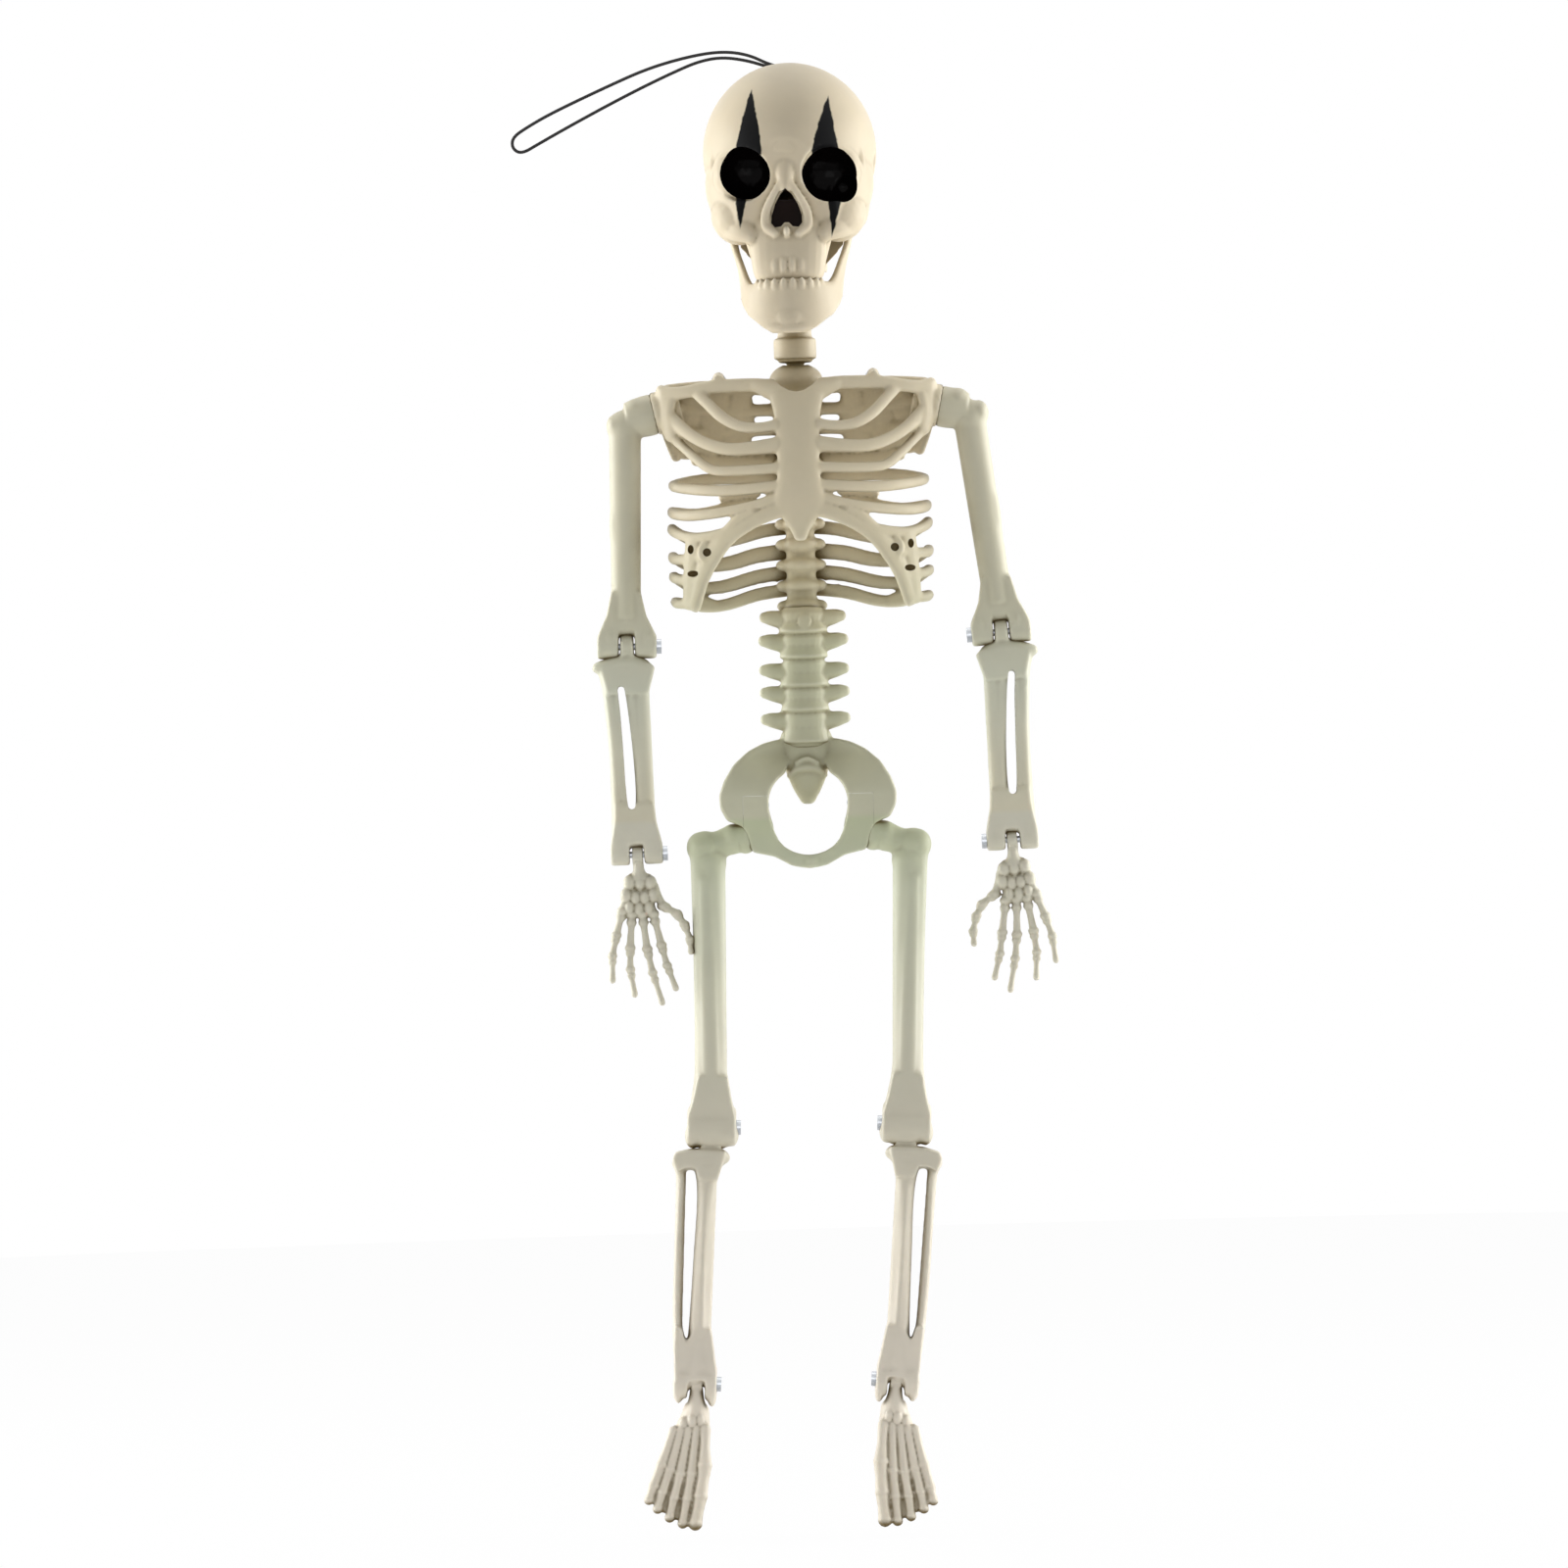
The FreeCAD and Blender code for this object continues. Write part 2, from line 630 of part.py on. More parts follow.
def ring_cut():
    centre = V(0, 0, hip.z + ring_above_hip)
    curve = Part.Ellipse(centre + V(0, 0, ring_half_height), centre + V(-ring_half_width, 0, 0), centre)
    face = Part.Face(Part.Wire(curve.toShape()))
    hole = face.extrude(V(0, 80, 0))
    hole.translate(V(0, -40, 0))
    return hole


def hip_wing(way):
    """A hip blade: a leaf from the socket in front to the sacrum behind, round in the front view."""
    leaf = block((-4, -1.5, -40), (30, 1.5, 40))
    leaf.Placement = FreeCAD.Placement(V(5.0, spine_back - 1.0, hip.z + wing_above_hip),
                                       FreeCAD.Rotation(V(0, 0, 1), -32))
    centre = V(wing_offset, 0, hip.z + wing_above_hip)
    outline = rod(centre - V(0, 40, 0), centre + V(0, 40, 0), wing_radius)
    wing = leaf.common(outline)
    return wing if way > 0 else wing.mirror(V(0, 0, 0), V(1, 0, 0))


def pelvis_parts():
    size = 100
    ahead = block((-size, -size, -4 * size), (size, 0, size))
    behind = block((-size, 0, -4 * size), (size, size, size))
    bosses, cavities = hip_bosses()
    hole = ring_cut()
    posts = [rod(V(place.x, -pelvis_half_depth, place.z), place, 2.6) for place in pelvis_screw_places()]
    mounts = [block((min(way * 9.0, way * 14.2), -pelvis_half_depth, hip.z - 2),
                    (max(way * 9.0, way * 14.2), 4.6, hip.z + 9.5)) for way in (-1, 1)]
    bar_outer = hole.copy()
    scale = FreeCAD.Matrix()
    scale.scale(V(1 + pelvis_bar / ring_half_width * 1.15, 1, 1 + pelvis_bar / ring_half_height))
    bar_outer.translate(V(0, 0, -(hip.z + ring_above_hip)))
    bar_outer = bar_outer.transformGeometry(scale)
    bar_outer.translate(V(0, 0, hip.z + ring_above_hip))
    bar = bar_outer.common(block((-30, -pelvis_half_depth, hip.z - 20), (30, 0, hip.z + 2)))

    front = fused(bar, *[piece.common(ahead) for piece in bosses + posts + mounts])
    sacrum = slab(both_halves([(6.6, waist_z - lumbar_height - 0.8), (6.4, waist_z - lumbar_height - 11.5),
                               (2.0, waist_z - lumbar_height - 18.0)]), spine_back - 1.5, spine_back + 4.5)
    seat = block((-6.6, spine_back - 6.6, waist_z - lumbar_height - 11.0),
                 (6.6, spine_back + 4.5, waist_z - lumbar_height - 0.8))
    wings = [hip_wing(way).cut(front) for way in (-1, 1)]
    back = fused(sacrum, seat, *wings, *[piece.common(behind) for piece in bosses + posts + mounts])
    socket = rod(V(0, spine_back, waist_z - gap / 2 - lumbar_height - 9), V(0, spine_back, waist_z - 30),
                 lumbar_tenon_radius + 0.02)
    bores = []
    screws = []
    for place in pelvis_screw_places():
        bores.append(rod(place + V(0, 1, 0), place - V(0, 9.2, 0), screw_radius))
        bores.append(rod(place, place + V(0, 30, 0), screw_head_radius + 0.4))
        screws.append(screw(place, V(0, -1, 0), 8.8))
    front = biggest(front.cut(cavities + bores + [hole]))
    back = biggest(back.cut(cavities + bores + [hole.common(block((-30, -40, hip.z - 40), (30, 4.8, hip.z + 40))), socket]))
    return front, back, Part.makeCompound(screws)


# Joint parts shared by the limbs. They are drawn about the hinge, with the hinge axis along X.

def fork(half_width, ear_radius, outline, front, back, tongue, slot_top, slot_front):
    """The lower end of a bone: a shaped block whose ears hold a screw either side of a slot."""
    ears = rod(V(-half_width, 0, 0), V(half_width, 0, 0), ear_radius)
    solid = fused(slab(both_halves(outline), front, back), ears)
    room = tongue / 2 + slot_gap
    slot = block((-room, slot_front, -30), (room, 30, slot_top))
    return solid.cut([slot, cross_bore(screw_radius, half_width)])


def tongue_part(width, radius, half_depth, length):
    eye = rod(V(-width / 2, 0, 0), V(width / 2, 0, 0), radius)
    link = block((-width / 2, -half_depth, -length), (width / 2, half_depth, 0))
    return [eye, link]


def stub(joint, axis, stub_radius, flange_radius, wall):
    """The flanged stub that two shells trap, on its joint's axis."""
    face = joint - axis * (gap / 2)
    inner = face - axis * (wall + gap)
    return [rod(inner - axis * flange_thickness, joint + axis * 1.5, stub_radius),
            rod(inner - axis * flange_thickness, inner, flange_radius)]


# Arm

def humerus(side):
    angles = lean[side]
    elbow = below(shoulder, upper_arm_length, angles["upper_arm"])
    start = shoulder + shoulder_axis * (gap / 2)
    disc_end = start + shoulder_axis * 3.2
    head = below(shoulder + V(8.4, 0, 0), 3.6, 0)
    pieces = stub(shoulder, shoulder_axis, shoulder_stub_radius, shoulder_flange_radius, shoulder_wall)
    pieces += [rod(start, disc_end, shoulder_disc_radius),
               rod(disc_end, disc_end + shoulder_axis * 4.5, shoulder_disc_radius, humerus_head_radius),
               ball(head, humerus_head_radius),
               rod(head, below(elbow, -8.0, angles["elbow"]), humerus_radius + 0.3, humerus_radius - 0.1)]
    outline = [(4.0, 15), (5.4, 8.5), (7.4, 4.2), (elbow_half_width, 1.8), (elbow_half_width, 0)]
    end = fork(elbow_half_width, elbow_ear_radius, outline, -elbow_ear_radius, elbow_ear_radius,
               elbow_tongue, elbow_ear_radius + 1.6, -30)
    shaft = fused(*pieces)
    room = elbow_tongue / 2 + slot_gap
    clear = turned(block((-room, -30, -30), (room, 30, elbow_ear_radius + 1.6)), elbow, angles["elbow"])
    return fused(shaft.cut(clear), turned(end, elbow, angles["elbow"])), elbow


def forearm(elbow, side):
    angles = lean[side]
    wrist = below(elbow, forearm_length, angles["forearm"])
    tongue = tongue_part(elbow_tongue, elbow_ear_radius + 0.3, 2.5, 7.0)
    top = elbow_ear_radius + 1.0
    plate = slab(both_halves([(6.0, -top), (7.5, -top - 1.3), (5.7, -top - 8.4)]), -elbow_ear_radius + 0.1,
                 elbow_ear_radius - 0.1)
    head = fused(*tongue, plate).cut(cross_bore(screw_radius + running, elbow_half_width))
    bone_from = forearm_bone_radius + 0.45
    start = top + 5.5
    end = forearm_length - 10.0
    bones = [turned(rod(V(way * bone_from, 0, -start), V(way * bone_from, 0, -end), forearm_bone_radius), elbow,
                    angles["forearm"]) for way in (-1, 1)]
    outline = [(5.4, 14), (5.7, 9), (6.9, 3.6), (wrist_half_width, 1.6), (wrist_half_width, 0)]
    base = fork(wrist_half_width, wrist_ear_radius, outline, -wrist_ear_radius - 0.3, wrist_ear_radius + 0.3,
                wrist_tongue, wrist_ear_radius + 0.2, -30)
    return fused(turned(head, elbow, angles["elbow"]), *bones, turned(base, wrist, angles["forearm"])), wrist


def finger(points, radius):
    """A jointed finger: thin bones between slightly thicker knuckles."""
    pieces = []
    for row in range(len(points) - 1):
        start, end = V(*points[row]), V(*points[row + 1])
        pieces.append(rod(start, end, radius * 0.9, radius * 0.82))
        pieces.append(ball(end, radius * (1.0 if row < len(points) - 2 else 0.8)))
    return pieces


def hand(wrist, side):
    angles = lean[side]
    top = wrist_ear_radius + 2.6
    tongue = fused(*tongue_part(wrist_tongue, wrist_ear_radius - 0.5, 1.6, top + 1.0))
    tongue = tongue.cut(cross_bore(screw_radius + running, wrist_half_width))
    outline = [(-4.0, -top), (3.9, -top), (4.4, -9.0), (6.9, -13.2), (6.6, -16.0), (4.2, -17.6), (-3.4, -17.8),
               (-6.4, -15.6), (-5.6, -11.4), (-4.3, -9.0)]
    palm = slab(outline, -palm_half_thickness, palm_half_thickness)
    thick = finger_radius
    chains = [
        ([(-5.0, -0.8, -14.4), (-9.2, -3.0, -18.9), (-10.4, -4.2, -23.6), (-9.9, -4.8, -27.6)], thick * 0.85),
        ([(-2.2, 0, -16.3), (-3.2, -0.6, -25.3), (-3.5, -1.6, -32.6), (-5.0, -3.0, -38.0)], thick),
        ([(0.9, 0, -16.3), (1.2, -0.6, -26.3), (0.7, -1.8, -33.8), (-1.2, -3.4, -41.6)], thick),
        ([(3.9, 0, -15.2), (5.8, -0.6, -23.6), (6.5, -1.6, -31.8), (6.0, -3.0, -37.8)], thick),
        ([(5.7, 0, -13.0), (8.8, -0.4, -19.6), (10.9, -1.2, -27.0), (11.0, -2.4, -33.0)], thick * 0.85),
    ]
    fingers = []
    for points, radius in chains:
        fingers += finger(points, radius)
    body = fused(palm, *fingers)
    return fused(turned(tongue, wrist, angles["forearm"]), turned(body, wrist, angles["palm"]))


# Leg

def femur(side):
    angles = lean[side]
    knee = below(hip, thigh_length, angles["thigh"])
    start = hip + hip_axis * (gap / 2)
    disc_end = start + hip_axis * 2.6
    out = V(cos(radians(angles["thigh"])), 0, sin(radians(angles["thigh"])))
    down = V(sin(radians(angles["thigh"])), 0, -cos(radians(angles["thigh"])))
    trochanter = hip + out * trochanter_out + down * trochanter_down
    shaft_top = hip + out * (trochanter_out - 1.6) + down * (trochanter_down + 4.0)
    pieces = stub(hip, hip_axis, hip_stub_radius, hip_flange_radius, hip_wall)
    pieces += [rod(start, disc_end, hip_disc_radius),
               rod(start + hip_axis, trochanter, hip_disc_radius - 0.7, trochanter_radius - 0.9),
               ball(trochanter, trochanter_radius),
               rod(trochanter, shaft_top, trochanter_radius - 0.6, femur_radius),
               ball(shaft_top, femur_radius + 0.6),
               rod(shaft_top, below(knee, -9.0, angles["knee"]), femur_radius + 0.3, femur_radius - 0.1)]
    outline = [(4.1, 14), (5.2, 8), (6.4, 3.2), (knee_half_width, 1.6), (knee_half_width, 0)]
    front_wall = -knee_ear_radius + knee_front_wall
    end = fork(knee_half_width, knee_ear_radius, outline, -knee_ear_radius + 0.4, knee_ear_radius - 1.0,
               knee_tongue, 4.0, front_wall)
    shaft = fused(*pieces)
    room = knee_tongue / 2 + slot_gap
    clear = turned(block((-room, front_wall, -30), (room, 30, 4.0)), knee, angles["knee"])
    return fused(shaft.cut(clear), turned(end, knee, angles["knee"])), knee


def shin(knee, side):
    angles = lean[side]
    ankle = below(knee, shin_length, angles["shin"])
    tongue = tongue_part(knee_tongue, knee_ear_radius - knee_front_wall - gap, knee_ear_radius - knee_front_wall - gap, 8.0)
    top = -(knee_ear_radius + 1.0)
    head = fused(*tongue).cut(cross_bore(screw_radius + running, knee_half_width))
    plateau = slab([(-4.4, top), (4.8, top), (9.4, top - 1.2), (10.2, top - 3.0), (8.8, top - 6.6), (6.4, top - 5.2),
                    (3.8, top - 5.0), (2.9, top - 8.0), (-2.6, top - 8.0)], -4.2, 4.2)
    tibia = rod(V(0.5, 0, top - 3), V(-0.9, 0, -shin_length + 11), tibia_radius + 0.5, tibia_radius)
    fibula = rod(V(7.7, 0, top - 3), V(6.0, 0, -shin_length + 12.4), fibula_radius + 0.1, fibula_radius)
    link_outline = [(-3.2, 15), (1.2, 15), (3.6, 11), (4.8, 15), (7.0, 15), (6.2, 0), (-5.4, 0), (-5.2, 4)]
    block_end = slab(link_outline, -3.6, 3.6)
    ears = rod(V(-ankle_half_width + 0.2, 0, 0), V(ankle_half_width + 0.6, 0, 0), ankle_ear_radius)
    room = ankle_tongue / 2 + slot_gap
    slots = [block((-room, -3.6 + ankle_front_wall, -30), (room, 30, 3.4)), block((-room, -30, -30), (room, 30, 1.0)),
             cross_bore(screw_radius, ankle_half_width)]
    end = fused(block_end, ears).cut(slots)
    bones = [turned(piece, knee, angles["shin"]) for piece in (plateau, tibia, fibula)]
    return fused(turned(head, knee, angles["knee"]), *bones, turned(end, ankle, angles["shin"])), ankle


def foot(ankle, side):
    """The foot points down and forwards. s runs from the ankle to the toes, h out of the instep."""
    angles = lean[side]
    pitch = radians(foot_pitch)
    tongue_radius = 3.6 - ankle_front_wall - gap
    eye = rod(V(-ankle_tongue / 2, 0, 0), V(ankle_tongue / 2, 0, 0), tongue_radius)
    link = block((-ankle_tongue / 2, -2.0, -8.0), (ankle_tongue / 2, 2.2, 0))
    head = fused(eye, link).cut(cross_bore(screw_radius + running, ankle_half_width))

    def at(s, h):
        return (-s * cos(pitch) - h * sin(pitch), -s * sin(pitch) + h * cos(pitch))

    under = ankle_ear_radius + 0.8
    profile = [at(-foot_heel, -under - 0.6), at(-foot_heel - 0.4, -9.6), at(0, -10.6), at(20, -9.8),
               at(foot_length, -9.0), at(foot_length + 0.4, -7.2), at(foot_length - 4, -5.4), at(22, -3.8),
               at(12, -3.0), at(5.4, -3.8), at(2, -under), at(-3, -under)]
    side_view = plate_along_x(profile, -20, 20)
    sole = [(-3.6, -foot_heel - 2), (3.6, -foot_heel - 2), (4.2, -2), (4.4, 6), (6.6, 13), (foot_half_width - 0.6, 24),
            (foot_half_width, 30), (6.2, foot_length - 3), (-7.6, foot_length + 1), (-foot_half_width, 31),
            (-7.2, 16), (-4.4, 6), (-4.2, -2)]
    corners = [V(x, -s * cos(pitch), -s * sin(pitch)) for x, s in sole]
    normal = V(0, -sin(pitch), cos(pitch))
    face = Part.Face(Part.makePolygon(corners + corners[:1]))
    face.translate(normal * -20)
    plan = face.extrude(normal * 40)
    body = side_view.common(plan)
    return fused(turned(head, ankle, angles["shin"]), turned(body, ankle, angles["foot"]))


# Cord

def cord_path(points):
    """Straight runs joined by tangent arcs. Returns the wire and the arcs' radii."""
    corners = [V(*point) for point in points]
    runs = [corners[i + 1] - corners[i] for i in range(len(corners) - 1)]
    edges = []
    radii = []
    last = corners[0]
    for i in range(1, len(corners) - 1):
        before, after = V(runs[i - 1]).normalize(), V(runs[i]).normalize()
        half_turn = before.getAngle(after) / 2
        setback = 0.45 * min(runs[i - 1].Length, runs[i].Length)
        radii.append(setback / tan(half_turn))
        start = corners[i] - before * setback
        end = corners[i] + after * setback
        centre_way = (after - before).normalize()
        centre = corners[i] + centre_way * (radii[-1] / cos(half_turn))
        middle = centre - centre_way * radii[-1]
        edges.append(Part.LineSegment(last, start).toShape())
        edges.append(Part.Arc(start, middle, end).toShape())
        last = end
    edges.append(Part.LineSegment(last, corners[-1]).toShape())
    return Part.Wire(edges), radii


def hanging_cord():
    path, radii = cord_path(cord_points)
    start = V(*cord_points[0])
    way = (V(*cord_points[1]) - start).normalize()
    section = Part.Wire(Part.Circle(start, way, cord_diameter / 2).toShape())
    tube = path.makePipeShell([section], True, False, 2)
    expected = pi * (cord_diameter / 2) ** 2 * path.Length
    print("cord length %.1f, arc radii" % path.Length, " ".join("%.1f" % r for r in radii))
    print("cord volume %.2f, section times length %.2f" % (tube.Volume, expected))
    return tube


def cord_knot():
    lowest = V(*cord_points[0])
    return ball(V(lowest.x, crown_hole_back, lowest.z - knot_radius * 0.55), knot_radius)


# The whole figure

def head_group(shape):
    """The skull, jaw and neck post turn together about the vertical."""
    moved = shape.copy()
    moved.rotate(V(0, 0, 0), V(0, 0, 1), -head_turn)
    return moved


def build():
    """Every sub-part by name, and the joints' centres, before the move to the origin."""
    nodes = {}
    centres = {}
    skull_face, skull_back, skull_screws = skull_parts()
    for name, shape in (("skull_face", skull_face), ("skull_back", skull_back), ("skull_screws", skull_screws),
                        ("jaw", jaw()), ("neck_post", neck_post()), ("cord_knot", cord_knot()),
                        ("hanging_cord", hanging_cord())):
        nodes[name] = head_group(shape)
    nodes["ribcage_front"], nodes["ribcage_back"], nodes["ribcage_screws"] = chest_parts()
    nodes["lumbar_spine"] = lumbar_spine()
    nodes["pelvis_front"], nodes["pelvis_back"], nodes["pelvis_screws"] = pelvis_parts()
    for side in ("right", "left"):
        arm_bone, elbow = humerus(side)
        lower_arm, wrist = forearm(elbow, side)
        thigh_bone, knee = femur(side)
        lower_leg, ankle = shin(knee, side)
        pieces = {
            "humerus": arm_bone,
            "elbow_screw": hinge_screw(elbow, lean[side]["elbow"], elbow_half_width),
            "forearm": lower_arm,
            "wrist_screw": hinge_screw(wrist, lean[side]["forearm"], wrist_half_width),
            "hand": hand(wrist, side),
            "femur": thigh_bone,
            "knee_screw": hinge_screw(knee, lean[side]["knee"], knee_half_width),
            "shin": lower_leg,
            "ankle_screw": hinge_screw(ankle, lean[side]["shin"], ankle_half_width - 0.2),
            "foot": foot(ankle, side),
        }
        for name, shape in pieces.items():
            nodes[name + "_" + side] = on_side(shape, side)
        centres[side] = {"shoulder": shoulder, "elbow": elbow, "wrist": wrist, "hip": hip, "knee": knee,
                         "ankle": ankle}
    return nodes, centres


def main():
    os.makedirs("parts", exist_ok=True)
    nodes, centres = build()
    for name, shape in nodes.items():
        shape = shape.copy()
        shape.translate(crown_hole_origin() * -1)
        shape.exportStep(os.path.join("parts", name + ".step"))
        print("%-18s solids %d  volume %8.1f  valid %s" % (name, len(shape.Solids), shape.Volume, shape.isValid()))


def crown_hole_origin():
    """The crown hole's centre once the head has been turned."""
    point = Part.Vertex(crown_hole)
    point.rotate(V(0, 0, 0), V(0, 0, 1), -head_turn)
    return point.Point


if __name__ == "__main__":
    main()
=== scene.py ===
import json
import math

import bmesh
import bpy
import numpy as np
from mathutils import Matrix, Vector


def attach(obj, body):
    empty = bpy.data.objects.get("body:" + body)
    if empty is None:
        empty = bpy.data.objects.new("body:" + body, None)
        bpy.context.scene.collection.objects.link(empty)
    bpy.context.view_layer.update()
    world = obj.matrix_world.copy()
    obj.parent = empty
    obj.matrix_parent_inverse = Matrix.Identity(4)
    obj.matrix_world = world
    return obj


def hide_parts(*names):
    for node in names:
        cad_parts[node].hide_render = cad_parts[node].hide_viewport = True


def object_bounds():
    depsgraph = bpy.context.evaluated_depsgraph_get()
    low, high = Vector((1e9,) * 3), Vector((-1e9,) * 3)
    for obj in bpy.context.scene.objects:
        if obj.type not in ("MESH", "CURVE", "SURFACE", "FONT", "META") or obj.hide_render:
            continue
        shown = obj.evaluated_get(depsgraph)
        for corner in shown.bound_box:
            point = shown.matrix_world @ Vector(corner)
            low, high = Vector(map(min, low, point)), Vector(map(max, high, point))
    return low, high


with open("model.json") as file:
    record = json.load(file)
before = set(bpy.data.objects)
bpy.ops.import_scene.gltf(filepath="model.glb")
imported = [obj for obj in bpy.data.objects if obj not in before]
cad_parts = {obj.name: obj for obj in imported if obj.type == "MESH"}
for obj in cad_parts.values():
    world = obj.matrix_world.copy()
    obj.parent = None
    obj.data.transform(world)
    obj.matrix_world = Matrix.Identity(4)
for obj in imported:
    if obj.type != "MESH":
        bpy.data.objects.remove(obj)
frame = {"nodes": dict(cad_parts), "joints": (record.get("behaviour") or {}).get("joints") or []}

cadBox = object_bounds()
joints = {joint["name"]: joint for joint in frame["joints"]}
scene = bpy.context.scene
sides = {"right": -1, "left": 1}  # the figure's own sides


def jointPlace(name):
    return Vector(joints[name]["pos_m"]) * 1000


# everything is shaped in millimetres below the crown, facing -Y, and set into metres at the end
neckDrop = 82  # from the crown to the pivot of the neck
origin = jointPlace("neck_turn") + Vector((0, 0, neckDrop))
toFrame = Matrix.Scale(0.001, 4) @ Matrix.Translation(origin)
jawAxis = Vector(joints["jaw_open"]["axis"])
headTurn = Matrix.Rotation(math.atan2(jawAxis.y, jawAxis.x), 4, "Z")


def pivot(name):
    return jointPlace(name) - origin


cameraValues = {"lens": 185.6, "sensor": 36, "distance": 2.2, "aim": (-6.41, -196.2), "roll": 1.66}


def setCamera():
    lens = bpy.data.cameras.new("viewCamera")
    lens.lens = cameraValues["lens"]
    lens.sensor_width = cameraValues["sensor"]
    lens.clip_end = 50
    camera = bpy.data.objects.new("viewCamera", lens)
    scene.collection.objects.link(camera)
    x, z = cameraValues["aim"]
    place = toFrame @ Vector((x, 0, z))
    place.y -= cameraValues["distance"]
    roll = math.radians(cameraValues["roll"])
    right = Vector((math.cos(roll), 0, -math.sin(roll)))
    up = Vector((math.sin(roll), 0, math.cos(roll)))
    turn = Matrix((right, up, right.cross(up))).transposed().to_4x4()
    camera.matrix_world = Matrix.Translation(place) @ turn
    scene.camera = camera


lampValues = {
    # name: (place in metres, size, watts), each aimed at the middle of the figure
    "leftSoftbox": ((-0.75, 0.16, 0.1), 0.7, 7.0),
    "rightSoftbox": ((0.75, 0.16, 0.1), 0.7, 7.0),
    "topSoftbox": ((0.0, 0.1, 0.75), 0.6, 1.6),
    "frontFill": ((0.0, -1.5, -0.12), 1.0, 4.6),
}


def setLamps():
    middle = toFrame @ Vector((0, 0, -200))
    for name, (place, size, power) in lampValues.items():
        lamp = bpy.data.lights.new(name, "AREA")
        lamp.shape = "SQUARE"
        lamp.size = size
        lamp.energy = power
        holder = bpy.data.objects.new(name, lamp)
        scene.collection.objects.link(holder)
        offset = Vector(place)
        turn = offset.to_track_quat("Z", "Y").to_matrix().to_4x4()
        holder.matrix_world = Matrix.Translation(middle + offset) @ turn


studioValues = {
    "tint": (0.95, 0.97, 1.0),
    "strength": 0.24,
    "floorRadius": 1.5,
    "floorBelow": 0.004,  # metres under the toes
    "floorTone": 0.9,
    "floorWhite": 0.97,  # the rest is lit, so the shadow stays
}


def setWorld():
    # white to the camera and in reflections, soft light to everything else
    world = bpy.data.worlds.new("paleStudio")
    world.use_nodes = True
    tree = world.node_tree
    tree.nodes.clear()
    output = tree.nodes.new("ShaderNodeOutputWorld")
    soft = tree.nodes.new("ShaderNodeBackground")
    soft.inputs["Color"].default_value = (*studioValues["tint"], 1)
    soft.inputs["Strength"].default_value = studioValues["strength"]
    paths = tree.nodes.new("ShaderNodeLightPath")
    white = tree.nodes.new("ShaderNodeBackground")
    white.inputs["Color"].default_value = (1, 1, 1, 1)
    white.inputs["Strength"].default_value = 1
    total = paths.outputs["Is Camera Ray"]
    for ray in ("Is Glossy Ray", "Is Transmission Ray"):
        most = tree.nodes.new("ShaderNodeMath")
        most.operation = "MAXIMUM"
        tree.links.new(total, most.inputs[0])
        tree.links.new(paths.outputs[ray], most.inputs[1])
        total = most.outputs[0]
    blend = tree.nodes.new("ShaderNodeMixShader")
    tree.links.new(total, blend.inputs["Fac"])
    tree.links.new(soft.outputs[0], blend.inputs[1])
    tree.links.new(white.outputs[0], blend.inputs[2])
    tree.links.new(blend.outputs[0], output.inputs["Surface"])
    scene.world = world


def setFloor():
    form = bmesh.new()
    bmesh.ops.create_circle(form, cap_ends=True, segments=96, radius=studioValues["floorRadius"])
    bmesh.ops.translate(form, vec=(0, 0, cadBox[0][2] - studioValues["floorBelow"]), verts=form.verts)
    mesh = bpy.data.meshes.new("paleFloor")
    form.to_mesh(mesh)
    form.free()
    floor = bpy.data.objects.new("paleFloor", mesh)
    scene.collection.objects.link(floor)
    coat = bpy.data.materials.new("paleFloor")
    coat.use_nodes = True
    tree = coat.node_tree
    tree.nodes.clear()
    output = tree.nodes.new("ShaderNodeOutputMaterial")
    matt = tree.nodes.new("ShaderNodeBsdfPrincipled")
    matt.inputs["Base Color"].default_value = (*[studioValues["floorTone"]] * 3, 1)
    matt.inputs["Roughness"].default_value = 0.9
    glow = tree.nodes.new("ShaderNodeEmission")
    paths = tree.nodes.new("ShaderNodeLightPath")
    share = tree.nodes.new("ShaderNodeMath")
    share.operation = "MULTIPLY"
    share.inputs[1].default_value = studioValues["floorWhite"]
    blend = tree.nodes.new("ShaderNodeMixShader")
    tree.links.new(paths.outputs["Is Camera Ray"], share.inputs[0])
    tree.links.new(share.outputs[0], blend.inputs["Fac"])
    tree.links.new(matt.outputs[0], blend.inputs[1])
    tree.links.new(glow.outputs[0], blend.inputs[2])
    tree.links.new(blend.outputs[0], output.inputs["Surface"])
    mesh.materials.append(coat)


setCamera()
setLamps()
setWorld()
setFloor()
scene.view_settings.view_transform = "Standard"
print("camera, lamps and floor set")


cordValues = {"diameter": 0.0009, "length": 0.1736, "exit": (0.9, 9.4, -5.0)}
cordRoute = [
    (0.9, 9.4, -5.0), (-0.6, 9.4, -0.5), (-5.0, 9.2, 0.3), (-11.0, 8.8, 3.4),
    (-18.5, 8.5, 4.5), (-28.0, 8.3, 3.2), (-39.0, 8.2, 0.3), (-49.5, 8.2, -4.0),
    (-59.5, 8.3, -8.3), (-66.6, 8.5, -11.5), (-72.2, 8.7, -14.5), (-76.3, 8.9, -17.1),
    (-76.5, 9.1, -20.1), (-74.0, 9.3, -21.7), (-69.3, 9.5, -19.1), (-61.2, 9.8, -14.8),
    (-51.4, 10.1, -9.8), (-41.2, 10.4, -4.85), (-31.5, 10.6, -0.55), (-24.8, 10.7, 2.1),
    (-18.4, 10.7, 3.1), (-11.3, 10.7, 1.9), (-5.6, 10.7, -0.1), (-0.8, 10.6, -0.4),
    (0.9, 10.6, -5.0),
]


